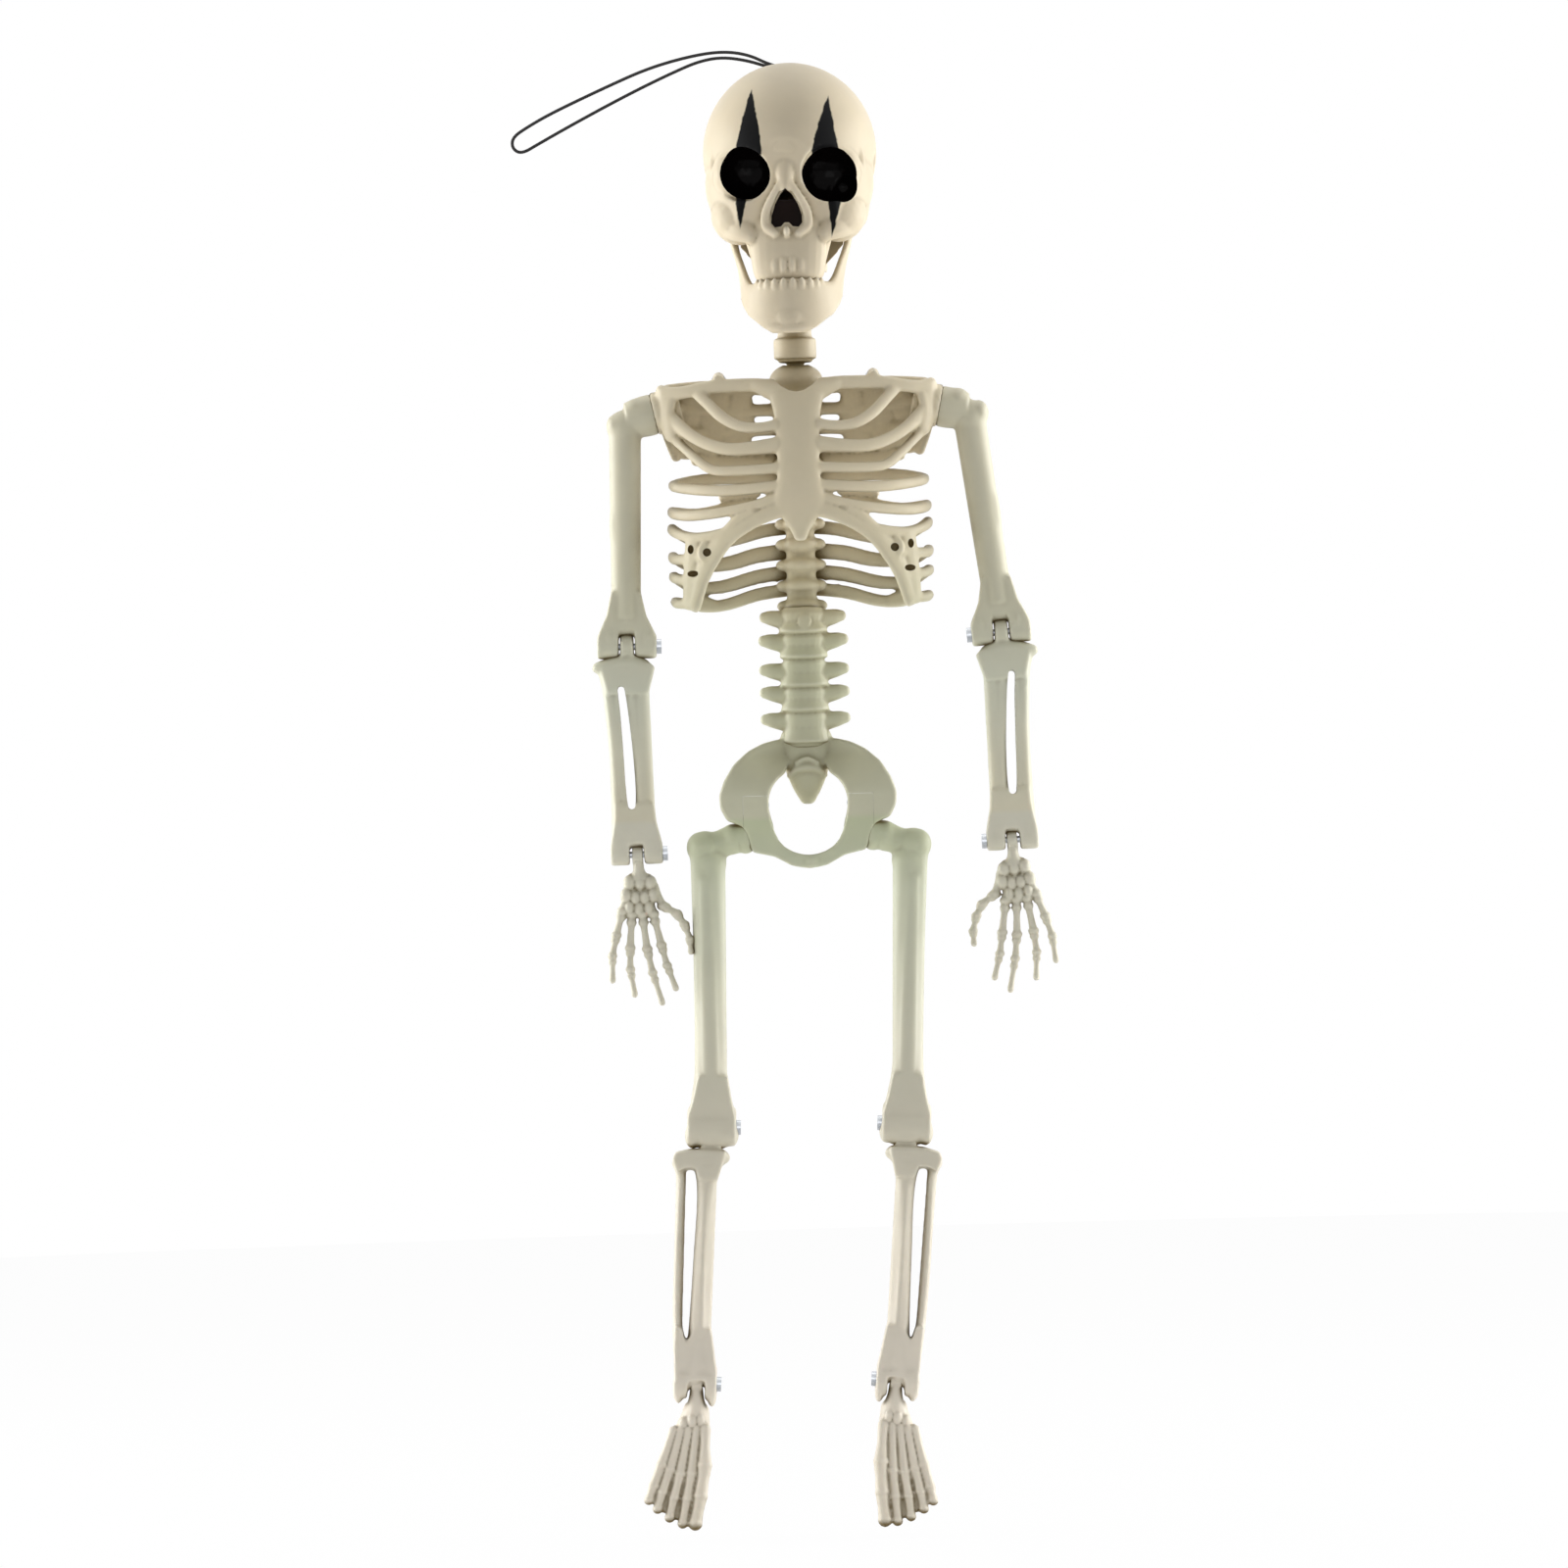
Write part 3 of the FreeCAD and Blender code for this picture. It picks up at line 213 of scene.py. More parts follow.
def makeCord():
    line = bpy.data.curves.new("hangingLoop", "CURVE")
    line.dimensions = "3D"
    line.resolution_u = 8
    pointRadius = 0.001  # a point's radius counts in the curve's box, so it stays small
    line.bevel_depth = cordValues["diameter"] / 2 / pointRadius
    line.bevel_resolution = 3
    line.use_fill_caps = True
    spline = line.splines.new("NURBS")
    spline.points.add(len(cordRoute) - 1)
    for point, place in zip(spline.points, cordRoute):
        point.co = (*(toFrame @ headTurn @ Vector(place)), 1)
        point.radius = pointRadius
    spline.order_u = 3
    spline.use_endpoint_u = True
    loop = bpy.data.objects.new("hangingLoop", line)
    scene.collection.objects.link(loop)
    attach(loop, "head")
    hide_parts("hanging_cord")
    return loop


cordLoop = makeCord()
print("cord laid")


# every piece is drawn as swept bars and balls, then welded into one skin
def smoothed(points, steps):
    rows = [np.array(point, float) for point in points]
    padded = [2 * rows[0] - rows[1]] + rows + [2 * rows[-1] - rows[-2]]
    line = []
    for a, b, c, d in zip(padded, padded[1:], padded[2:], padded[3:]):
        for step in range(steps):
            t = step / steps
            line.append(0.5 * (2 * b + (c - a) * t + (2 * a - 5 * b + 4 * c - d) * t ** 2
                               + (3 * b - a - 3 * c + d) * t ** 3))
    line.append(rows[-1])
    return line


def sweep(form, stations, facing=(0, -1, 0), steps=4, segments=12, tip=1.0, square=1.0):
    # stations are (x, y, z, width, depth); facing is the side that depth points to
    line = smoothed(stations, steps)
    centres = [Vector(row[:3]) for row in line]
    rings = []
    for index, row in enumerate(line):
        along = (centres[min(index + 1, len(line) - 1)] - centres[max(index - 1, 0)]).normalized()
        front = facing(centres[index]) if callable(facing) else Vector(facing)
        across = front.cross(along).normalized()
        rings.append((centres[index], across, along.cross(across), along,
                      max(row[3], 0.3) / 2, max(row[4], 0.3) / 2))

    def rounded(ring, way):
        centre, across, out, along, half, deep = ring
        reach = min(half, deep) * tip
        ended = []
        for turn in (0.45, 0.9, 1.35):
            pulled = reach * (1 - math.cos(turn))
            ended.append((centre + along * way * reach * math.sin(turn), across, out, along,
                          max(half - pulled, 0.05), max(deep - pulled, 0.05)))
        return ended

    rings = rounded(rings[0], -1)[::-1] + rings + rounded(rings[-1], 1)

    def spread(ring):
        centre, across, out, along, half, deep = ring
        turn = Matrix((across * half, out * deep, along)).transposed().to_4x4()
        return Matrix.Translation(centre) @ turn

    circle = bmesh.ops.create_circle(form, cap_ends=True, segments=segments, radius=1)["verts"]
    for vert in circle:
        for axis in (0, 1):
            vert.co[axis] = math.copysign(abs(vert.co[axis]) ** square, vert.co[axis])
    before = spread(rings[0])
    bmesh.ops.transform(form, matrix=before, verts=circle)
    face = circle[0].link_faces[0]
    lid = bmesh.ops.duplicate(form, geom=[face])["geom"]
    for ring in rings[1:]:
        face = bmesh.ops.extrude_discrete_faces(form, faces=[face])["faces"][0]
        here = spread(ring)
        bmesh.ops.transform(form, matrix=here @ before.inverted(), verts=face.verts[:])
        before = here
    seam = circle + [part for part in lid if isinstance(part, bmesh.types.BMVert)]
    bmesh.ops.remove_doubles(form, verts=[vert for vert in seam if vert.is_valid], dist=1e-5)


def ball(form, centre, radii, turn=(0, 0, 0)):
    radii = (radii,) * 3 if isinstance(radii, (int, float)) else radii
    turned = Matrix.LocRotScale(Vector(centre), Matrix.Rotation(math.radians(turn[0]), 3, "X")
                                @ Matrix.Rotation(math.radians(turn[1]), 3, "Y")
                                @ Matrix.Rotation(math.radians(turn[2]), 3, "Z"), Vector(radii))
    bmesh.ops.create_icosphere(form, subdivisions=3, radius=1, matrix=turned)


def drum(form, start, end, radius, endRadius=None, segments=32):
    start, end = Vector(start), Vector(end)
    along = end - start
    turn = along.to_track_quat("Z", "Y").to_matrix().to_4x4()
    bmesh.ops.create_cone(form, cap_ends=True, segments=segments, radius1=radius,
                          radius2=radius if endRadius is None else endRadius, depth=along.length,
                          matrix=Matrix.Translation((start + end) / 2) @ turn)


def slab(form, outline, front, back):
    # a plate cut to an outline in the front view
    corners = [form.verts.new((x, front, z)) for x, z in outline]
    face = form.faces.new(corners)
    pushed = bmesh.ops.extrude_face_region(form, geom=[face])["geom"]
    bmesh.ops.translate(form, vec=(0, back - front, 0),
                        verts=[part for part in pushed if isinstance(part, bmesh.types.BMVert)])


def moved(form, matrix):
    bmesh.ops.transform(form, matrix=matrix, verts=form.verts)
    return form


def joined(form, other):
    carried = bpy.data.meshes.new("carried")
    other.to_mesh(carried)
    other.free()
    form.from_mesh(carried)
    bpy.data.meshes.remove(carried)
    return form


def copyOf(node):
    # the engineered part, as a start for the piece that stands for it
    form = bmesh.new()
    form.from_mesh(frame["nodes"][node].data)
    moved(form, toFrame.inverted())
    bmesh.ops.remove_doubles(form, verts=form.verts, dist=0.002)
    return form


def asObject(name, form):
    bmesh.ops.recalc_face_normals(form, faces=form.faces)
    mesh = bpy.data.meshes.new(name)
    form.to_mesh(mesh)
    form.free()
    piece = bpy.data.objects.new(name, mesh)
    scene.collection.objects.link(piece)
    return piece


def settled(piece):
    graph = bpy.context.evaluated_depsgraph_get()
    mesh = bpy.data.meshes.new_from_object(piece.evaluated_get(graph))
    piece.modifiers.clear()
    old = piece.data
    piece.data = mesh
    mesh.name = piece.name
    bpy.data.meshes.remove(old)
    return piece


def smoothedOut(piece, rounds, factor=0.5):
    form = bmesh.new()
    form.from_mesh(piece.data)
    for _ in range(rounds):
        bmesh.ops.smooth_vert(form, verts=form.verts, factor=factor,
                              use_axis_x=True, use_axis_y=True, use_axis_z=True)
    form.to_mesh(piece.data)
    form.free()
    return piece


def welded(name, form, voxel=0.4, rounds=3):
    piece = asObject(name, form)
    skin = piece.modifiers.new("weld", "REMESH")
    skin.mode = "VOXEL"
    skin.voxel_size = voxel
    return smoothedOut(settled(piece), rounds)


def carved(piece, form, coat=None, weld=0):
    # shapes that overlap are welded before they cut
    cutter = welded("cutter", form, weld, 2) if weld else asObject("cutter", form)
    cutter.data.materials.clear()
    if coat:
        cutter.data.materials.append(coat)
    cut = piece.modifiers.new("carve", "BOOLEAN")
    cut.operation = "DIFFERENCE"
    cut.solver = "EXACT"
    cut.material_mode = "TRANSFER"
    cut.object = cutter
    settled(piece)
    bpy.data.objects.remove(cutter)
    return piece


def cutBlock(piece, centre, size, turn=Matrix.Identity(4)):
    block = bmesh.new()
    place = turn @ Matrix.Translation(centre) @ Matrix.Diagonal((*size, 1))
    bmesh.ops.create_cube(block, size=1, matrix=place)
    carved(piece, block)


surfaceValues = {
    "grooveGain": 7,
    "ridgeStart": 0.25,
    "spreads": 3,
    "crispAngle": 48,
}


def markGrooves(mesh):
    # how far each point lies below its neighbours, kept on the mesh for the painted shade in the grooves and
    # for pale ridges, partly wear and partly painted highlight
    places = np.empty(len(mesh.vertices) * 3)
    mesh.vertices.foreach_get("co", places)
    places = places.reshape(-1, 3)
    normals = np.empty(len(mesh.vertices) * 3)
    mesh.vertex_normals.foreach_get("vector", normals)
    normals = normals.reshape(-1, 3)
    ends = np.empty(len(mesh.edges) * 2, np.int64)
    mesh.edges.foreach_get("vertices", ends)
    a, b = ends.reshape(-1, 2).T
    between = places[b] - places[a]
    between /= np.maximum(np.linalg.norm(between, axis=1, keepdims=True), 1e-9)
    count = np.bincount(a, minlength=len(places)) + np.bincount(b, minlength=len(places))
    count = np.maximum(count, 1)
    sunk = (np.bincount(a, (between * normals[a]).sum(1), len(places))
            - np.bincount(b, (between * normals[b]).sum(1), len(places))) / count
    crisp = mesh.attributes.get("sharp_edge")
    if crisp:
        # the crisp edge of a joint line gets no pale ridge of wear and painted highlight
        flags = np.zeros(len(mesh.edges), bool)
        crisp.data.foreach_get("value", flags)
        for points in (a[flags], b[flags]):
            sunk[points] = np.maximum(sunk[points], 0)
    for _ in range(surfaceValues["spreads"]):
        around = np.bincount(a, sunk[b], len(places)) + np.bincount(b, sunk[a], len(places))
        sunk = (sunk + around / count) / 2
    gain = surfaceValues["grooveGain"]
    # groove drives painted shade; ridge drives a pale edge, partly wear and partly painted highlight
    masks = {"groove": sunk * gain, "ridge": -sunk * gain - surfaceValues["ridgeStart"]}
    for name, values in masks.items():
        values = np.clip(values, 0, 1)
        layer = mesh.attributes.new(name, "FLOAT", "POINT")
        layer.data.foreach_set("value", values.astype(np.float32))


def finished(piece, body, coat, nodes, turn=None):
    place = toFrame @ turn if turn else toFrame
    piece.data.transform(place)
    if not piece.data.materials:
        piece.data.materials.append(coat)
    else:
        piece.data.materials[0] = coat
    piece.data.shade_smooth()
    piece.data.set_sharp_from_angle(angle=math.radians(surfaceValues["crispAngle"]))
    markGrooves(piece.data)
    piece.data.update()
    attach(piece, body)
    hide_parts(*nodes)
    return piece


def srgb(red, green, blue):
    return tuple(((value / 255 + 0.055) / 1.055) ** 2.4 if value > 10 else value / 255 / 12.92
                 for value in (red, green, blue)) + (1.0,)


def group(name, takes, gives):
    tree = bpy.data.node_groups.new(name, "ShaderNodeTree")
    for socket, kind, start in takes:
        made = tree.interface.new_socket(socket, in_out="INPUT", socket_type="NodeSocket" + kind)
        if start is not None:
            made.default_value = start
    for socket, kind in gives:
        tree.interface.new_socket(socket, in_out="OUTPUT", socket_type="NodeSocket" + kind)
    return tree, tree.nodes.new("NodeGroupInput").outputs, tree.nodes.new("NodeGroupOutput").inputs


def maths(tree, operation, *values, clamp=False):
    node = tree.nodes.new("ShaderNodeMath")
    node.operation = operation
    node.use_clamp = clamp
    for socket, value in zip(node.inputs, values):
        if isinstance(value, (int, float)):
            socket.default_value = value
        else:
            tree.links.new(value, socket)
    return node.outputs[0]


def blended(tree, share, first, second):
    node = tree.nodes.new("ShaderNodeMix")
    node.data_type = "RGBA"
    for socket, value in ((node.inputs["Factor"], share), (node.inputs[6], first), (node.inputs[7], second)):
        if isinstance(value, (tuple, float, int)):
            socket.default_value = value
        else:
            tree.links.new(value, socket)
    return node.outputs[2]


def noise(tree, where, scale, detail=2.0):
    node = tree.nodes.new("ShaderNodeTexNoise")
    node.inputs["Scale"].default_value = scale
    node.inputs["Detail"].default_value = detail
    tree.links.new(where, node.inputs["Vector"])
    return node.outputs["Fac"]


def makeMouldedGroup():
    # plastic with faint mottling, painted shade in grooves and hollows, and pale ridges that are partly wear
    # and partly a painted highlight
    tree, takes, gives = group("mouldedPlastic", [
        ("Where", "Vector", None), ("Tone", "Color", (0.7, 0.6, 0.45, 1)),
        ("Shade", "Color", (0.2, 0.16, 0.07, 1)), ("Hollow", "Float", 0.0),
        ("Hollow Strength", "Float", 0.8), ("Groove Strength", "Float", 0.7),
        ("Polish", "Float", 0.4)],
        [("Color", "Color"), ("Roughness", "Float"), ("Height", "Float")])
    mottle = noise(tree, takes["Where"], 90, 4)
    fine = noise(tree, takes["Where"], 1400, 2)
    cloud = maths(tree, "MULTIPLY_ADD", mottle, 0.16, -0.08)
    light = maths(tree, "ADD", 1.0, cloud)
    scaled = tree.nodes.new("ShaderNodeVectorMath")
    scaled.operation = "SCALE"
    tree.links.new(takes["Tone"], scaled.inputs[0])
    tree.links.new(light, scaled.inputs["Scale"])
    groove = tree.nodes.new("ShaderNodeAttribute")
    groove.attribute_name = "groove"
    ridge = tree.nodes.new("ShaderNodeAttribute")
    ridge.attribute_name = "ridge"
    # painted shade: grooves and hollows take the shade colour
    sunk = maths(tree, "MULTIPLY", groove.outputs["Fac"], takes["Groove Strength"], clamp=True)
    deep = maths(tree, "MULTIPLY", takes["Hollow"], takes["Hollow Strength"], clamp=True)
    dark = maths(tree, "MAXIMUM", sunk, deep)
    # pale ridges: partly wear, partly a painted highlight on edges that catch the light
    wearAndPaintedHighlight = maths(tree, "MULTIPLY", ridge.outputs["Fac"], 0.35, clamp=True)
    pale = blended(tree, wearAndPaintedHighlight, scaled.outputs[0], srgb(250, 244, 228))
    tree.links.new(blended(tree, dark, pale, takes["Shade"]), gives["Color"])
    rough = maths(tree, "MULTIPLY_ADD", mottle, 0.12, takes["Polish"])
    tree.links.new(maths(tree, "MULTIPLY_ADD", dark, 0.2, rough), gives["Roughness"])
    tree.links.new(maths(tree, "MULTIPLY_ADD", mottle, 0.6, fine), gives["Height"])
    return tree


def makeWedgeGroup():
    # one painted point, from its broad end to its tip
    tree, takes, gives = group("paintedPoint", [
        ("Where", "Vector", None), ("Base X", "Float", 0.0), ("Base Z", "Float", 0.0),
        ("Tip X", "Float", 0.0), ("Tip Z", "Float", 1.0), ("Half Width", "Float", 1.0)],
        [("Mask", "Float")])
    apart = tree.nodes.new("ShaderNodeSeparateXYZ")
    tree.links.new(takes["Where"], apart.inputs[0])
    x, y, z = apart.outputs
    brush = maths(tree, "MULTIPLY_ADD", noise(tree, takes["Where"], 0.4, 2), 0.9, -0.45)
    rise = maths(tree, "DIVIDE", maths(tree, "SUBTRACT", z, takes["Base Z"]),
                 maths(tree, "SUBTRACT", takes["Tip Z"], takes["Base Z"]))
    middle = maths(tree, "MULTIPLY_ADD", rise, maths(tree, "SUBTRACT", takes["Tip X"], takes["Base X"]),
                   takes["Base X"])
    left = maths(tree, "POWER", maths(tree, "SUBTRACT", 1.0, rise, clamp=True), 0.85)
    half = maths(tree, "MULTIPLY", takes["Half Width"], left)
    gap = maths(tree, "ABSOLUTE", maths(tree, "SUBTRACT", maths(tree, "ADD", x, brush), middle))
    inside = maths(tree, "MULTIPLY", maths(tree, "SUBTRACT", half, gap), 3.0, clamp=True)
    begun = maths(tree, "MULTIPLY", maths(tree, "ADD", rise, 0.12), 30.0, clamp=True)
    front = maths(tree, "LESS_THAN", y, -4.0)
    tree.links.new(maths(tree, "MULTIPLY", maths(tree, "MULTIPLY", inside, begun), front), gives["Mask"])
    return tree


def makeHeightGroup(name, stops):
    # colour changes from top to bottom: mostly the plastic's own tint, and in the body's stops also painted
    # light that makes the feet paler
    tree, takes, gives = group(name, [("Where", "Vector", None)], [("Tone", "Color")])
    apart = tree.nodes.new("ShaderNodeSeparateXYZ")
    tree.links.new(takes["Where"], apart.inputs[0])
    span = tree.nodes.new("ShaderNodeMapRange")
    span.inputs["From Min"].default_value = (origin.z - plasticValues["figureHeight"]) / 1000
    span.inputs["From Max"].default_value = origin.z / 1000
    tree.links.new(apart.outputs[2], span.inputs["Value"])
    ramp = tree.nodes.new("ShaderNodeValToRGB")
    places = ramp.color_ramp.elements
    for index, (height, colour) in enumerate(stops):
        stop = places[index] if index < 2 else places.new(0.5)
        stop.position = 1 + height / plasticValues["figureHeight"]
        stop.color = srgb(*colour)
    tree.links.new(span.outputs[0], ramp.inputs[0])
    tree.links.new(ramp.outputs[0], gives["Tone"])
    return tree


plasticValues = {
    # colour of the painted shade in grooves and hollows
    "shade": (104, 84, 30),
    # the stops from -356 down are painted light: the feet are made paler, as if more light fell on them
    "bodyTones": [(-400, (240, 230, 210)), (0, (230, 218, 190)), (-120, (228, 215, 184)),
                  (-148, (214, 207, 175)),
                  (-160, (200, 200, 168)), (-205, (202, 207, 170)), (-225, (208, 210, 184)),
                  (-285, (216, 210, 189)), (-330, (227, 218, 199)), (-356, (232, 223, 206)),
                  (-372, (244, 236, 220))],
    "armTones": [(-400, (226, 216, 190)), (0, (220, 211, 186)), (-150, (212, 208, 182)),
                 (-170, (216, 216, 194)),
                 (-205, (222, 218, 198)), (-222, (226, 216, 188))],
    "skullTone": (229, 215, 187),
    "figureHeight": 400,  # millimetres that the tones are spread over
    "hollowReach": 0.024,
    "hollowGain": 2.6,
    "hollowStart": -0.66,
    "paint": (3, 3, 4),
    "paintRoughness": 0.3,
}
plasticToneAndLight = makeMouldedGroup()
wedge = makeWedgeGroup()


def freshCoat(name):
    coat = bpy.data.materials.new(name)
    coat.use_nodes = True
    tree = coat.node_tree
    tree.nodes.clear()
    output = tree.nodes.new("ShaderNodeOutputMaterial")
    shader = tree.nodes.new("ShaderNodeBsdfPrincipled")
    tree.links.new(shader.outputs[0], output.inputs["Surface"])
    where = tree.nodes.new("ShaderNodeTexCoord").outputs["Object"]
    return coat, tree, shader, where


def use(tree, made, **values):
    node = tree.nodes.new("ShaderNodeGroup")
    node.node_tree = made
    for socket, value in values.items():
        socket = node.inputs[socket.replace("_", " ")]
        if isinstance(value, (int, float, tuple)):
            socket.default_value = value
        else:
            tree.links.new(value, socket)
    return node.outputs


def bumped(tree, shader, height, strength, distance):
    bump = tree.nodes.new("ShaderNodeBump")
    bump.inputs["Strength"].default_value = strength
    bump.inputs["Distance"].default_value = distance
    tree.links.new(height, bump.inputs["Height"])
    tree.links.new(bump.outputs[0], shader.inputs["Normal"])


def plasticCoat(name, tones, polish, hollowStrength, shine, wedges=()):
    coat, tree, shader, where = freshCoat(name)
    # painted shade: the more nearby surfaces shut a point in, the more its colour goes to the shade colour
    near = tree.nodes.new("ShaderNodeAmbientOcclusion")
    near.samples = 6
    near.inputs["Distance"].default_value = plasticValues["hollowReach"]
    shut = maths(tree, "SUBTRACT", 1.0, near.outputs["AO"], clamp=True)
    hollow = maths(tree, "MULTIPLY_ADD", shut, plasticValues["hollowGain"], plasticValues["hollowStart"],
                   clamp=True)
    if isinstance(tones, tuple):
        tone = srgb(*tones)
    else:
        tone = use(tree, makeHeightGroup(name + "Tones", tones), Where=where)["Tone"]
    skin = use(tree, plasticToneAndLight, Where=where, Tone=tone, Shade=srgb(*plasticValues["shade"]), Hollow=hollow,
               Hollow_Strength=hollowStrength, Polish=polish)
    colour, rough = skin["Color"], skin["Roughness"]
    if wedges:
        place = tree.nodes.new("ShaderNodeMapping")
        place.inputs["Scale"].default_value = (1000, 1000, 1000)
        turnBack = headTurn.inverted()
        place.inputs["Rotation"].default_value = turnBack.to_euler()
        place.inputs["Location"].default_value = -(turnBack @ origin)
        tree.links.new(where, place.inputs["Vector"])
        painted = None
        for baseX, baseZ, tipX, tipZ, half in wedges:
            mask = use(tree, wedge, Where=place.outputs[0], Base_X=baseX, Base_Z=baseZ, Tip_X=tipX, Tip_Z=tipZ,
                       Half_Width=half)["Mask"]
            painted = mask if painted is None else maths(tree, "MAXIMUM", painted, mask)
        colour = blended(tree, painted, colour, srgb(*plasticValues["paint"]))
        rough = maths(tree, "MULTIPLY_ADD", painted, plasticValues["paintRoughness"], rough)
    tree.links.new(colour, shader.inputs["Base Color"])
    tree.links.new(rough, shader.inputs["Roughness"])
    shader.inputs["Specular IOR Level"].default_value = shine
    shader.inputs["Subsurface Weight"].default_value = 0.06
    shader.inputs["Subsurface Radius"].default_value = (1.0, 0.8, 0.5)
    shader.inputs["Subsurface Scale"].default_value = 0.002
    bumped(tree, shader, skin["Height"], 0.1, 0.0002)
    return coat


def glossBlack(name, colour, polish):
    coat, tree, shader, where = freshCoat(name)
    smudge = noise(tree, where, 260, 3)
    tree.links.new(blended(tree, smudge, srgb(*colour), srgb(*[value // 2 for value in colour])),
                   shader.inputs["Base Color"])
    tree.links.new(maths(tree, "MULTIPLY_ADD", smudge, 0.14, polish), shader.inputs["Roughness"])
    shader.inputs["Specular IOR Level"].default_value = 0.05
    bumped(tree, shader, smudge, 0.15, 0.0003)
    return coat


def steelCoat():
    coat, tree, shader, where = freshCoat("zincScrew")
    grain = noise(tree, where, 2600, 2)
    tree.links.new(blended(tree, grain, srgb(168, 172, 178), srgb(214, 218, 222)), shader.inputs["Base Color"])
    tree.links.new(maths(tree, "MULTIPLY_ADD", grain, 0.2, 0.22), shader.inputs["Roughness"])
    shader.inputs["Metallic"].default_value = 1.0
    bumped(tree, shader, grain, 0.3, 0.0001)
    return coat


def cordCoat():
    # tight braid over elastic: two slanting waves cross over each other
    coat, tree, shader, where = freshCoat("braidedCord")
    total = None
    for turn in (0.7, -0.7):
        place = tree.nodes.new("ShaderNodeMapping")
        place.inputs["Rotation"].default_value = (0, turn, 0)
        tree.links.new(where, place.inputs["Vector"])
        wave = tree.nodes.new("ShaderNodeTexWave")
        wave.inputs["Scale"].default_value = 1100
        tree.links.new(place.outputs[0], wave.inputs["Vector"])
        total = wave.outputs["Fac"] if total is None else maths(tree, "MAXIMUM", total, wave.outputs["Fac"])
    tree.links.new(blended(tree, total, srgb(6, 6, 7), srgb(30, 28, 30)), shader.inputs["Base Color"])
    tree.links.new(maths(tree, "MULTIPLY_ADD", total, -0.1, 0.75), shader.inputs["Roughness"])
    bumped(tree, shader, total, 0.5, 0.0002)
    return coat


# painted points over and under the eyes: base x and z, tip x and z, half width
paintedWedges = [(-9.7, -25.0, -8.7, -8.0, 3.9), (11.0, -26.0, 11.9, -10.5, 3.7),
                 (-12.2, -37.6, -12.8, -46.5, 1.7), (13.1, -39.2, 12.0, -49.5, 1.9)]
skullCoat = plasticCoat("skullPlastic", plasticValues["skullTone"], 0.3, 0.5, 0.12, paintedWedges)
boneCoat = plasticCoat("bonePlastic", plasticValues["bodyTones"], 0.38, 0.95, 0.4)
armCoat = plasticCoat("armPlastic", plasticValues["armTones"], 0.38, 0.9, 0.4)
socketCoat = glossBlack("blackSocket", (12, 8, 8), 0.12)
noseCoat = glossBlack("darkNose", (34, 18, 12), 0.3)
screwCoat = steelCoat()
braidCoat = cordCoat()
cordLoop.data.materials.append(braidCoat)
print("finishes mixed")


def keepPart(node, coat):
    part = frame["nodes"][node]
    if not part.data.materials:
        part.data.materials.append(coat)
    for slot in part.material_slots:
        slot.material = coat


for node in frame["nodes"]:
    if "screw" in node:
        keepPart(node, screwCoat)
    elif node == "cord_knot":
        keepPart(node, braidCoat)
    elif node.startswith(("humerus", "forearm", "hand")):
        keepPart(node, armCoat)
    elif node.startswith(("skull", "jaw")):
        keepPart(node, skullCoat)
    elif node != "hanging_cord":
        keepPart(node, boneCoat)


skullValues = {
    "leftEye": (11.9, -32.3, 7.7, 7.6),  # across, height, half width, half height
    "rightEye": (-10.6, -31.0, 7.5, 7.4),
    "eyeDepth": 7.4,
    "teeth": 10,
    "toothHeight": 2.2,
    "voxel": 0.4,
}


def headOut(centre):
    # level, away from the middle of the head
    return Vector((centre.x, centre.y, 0)).normalized()


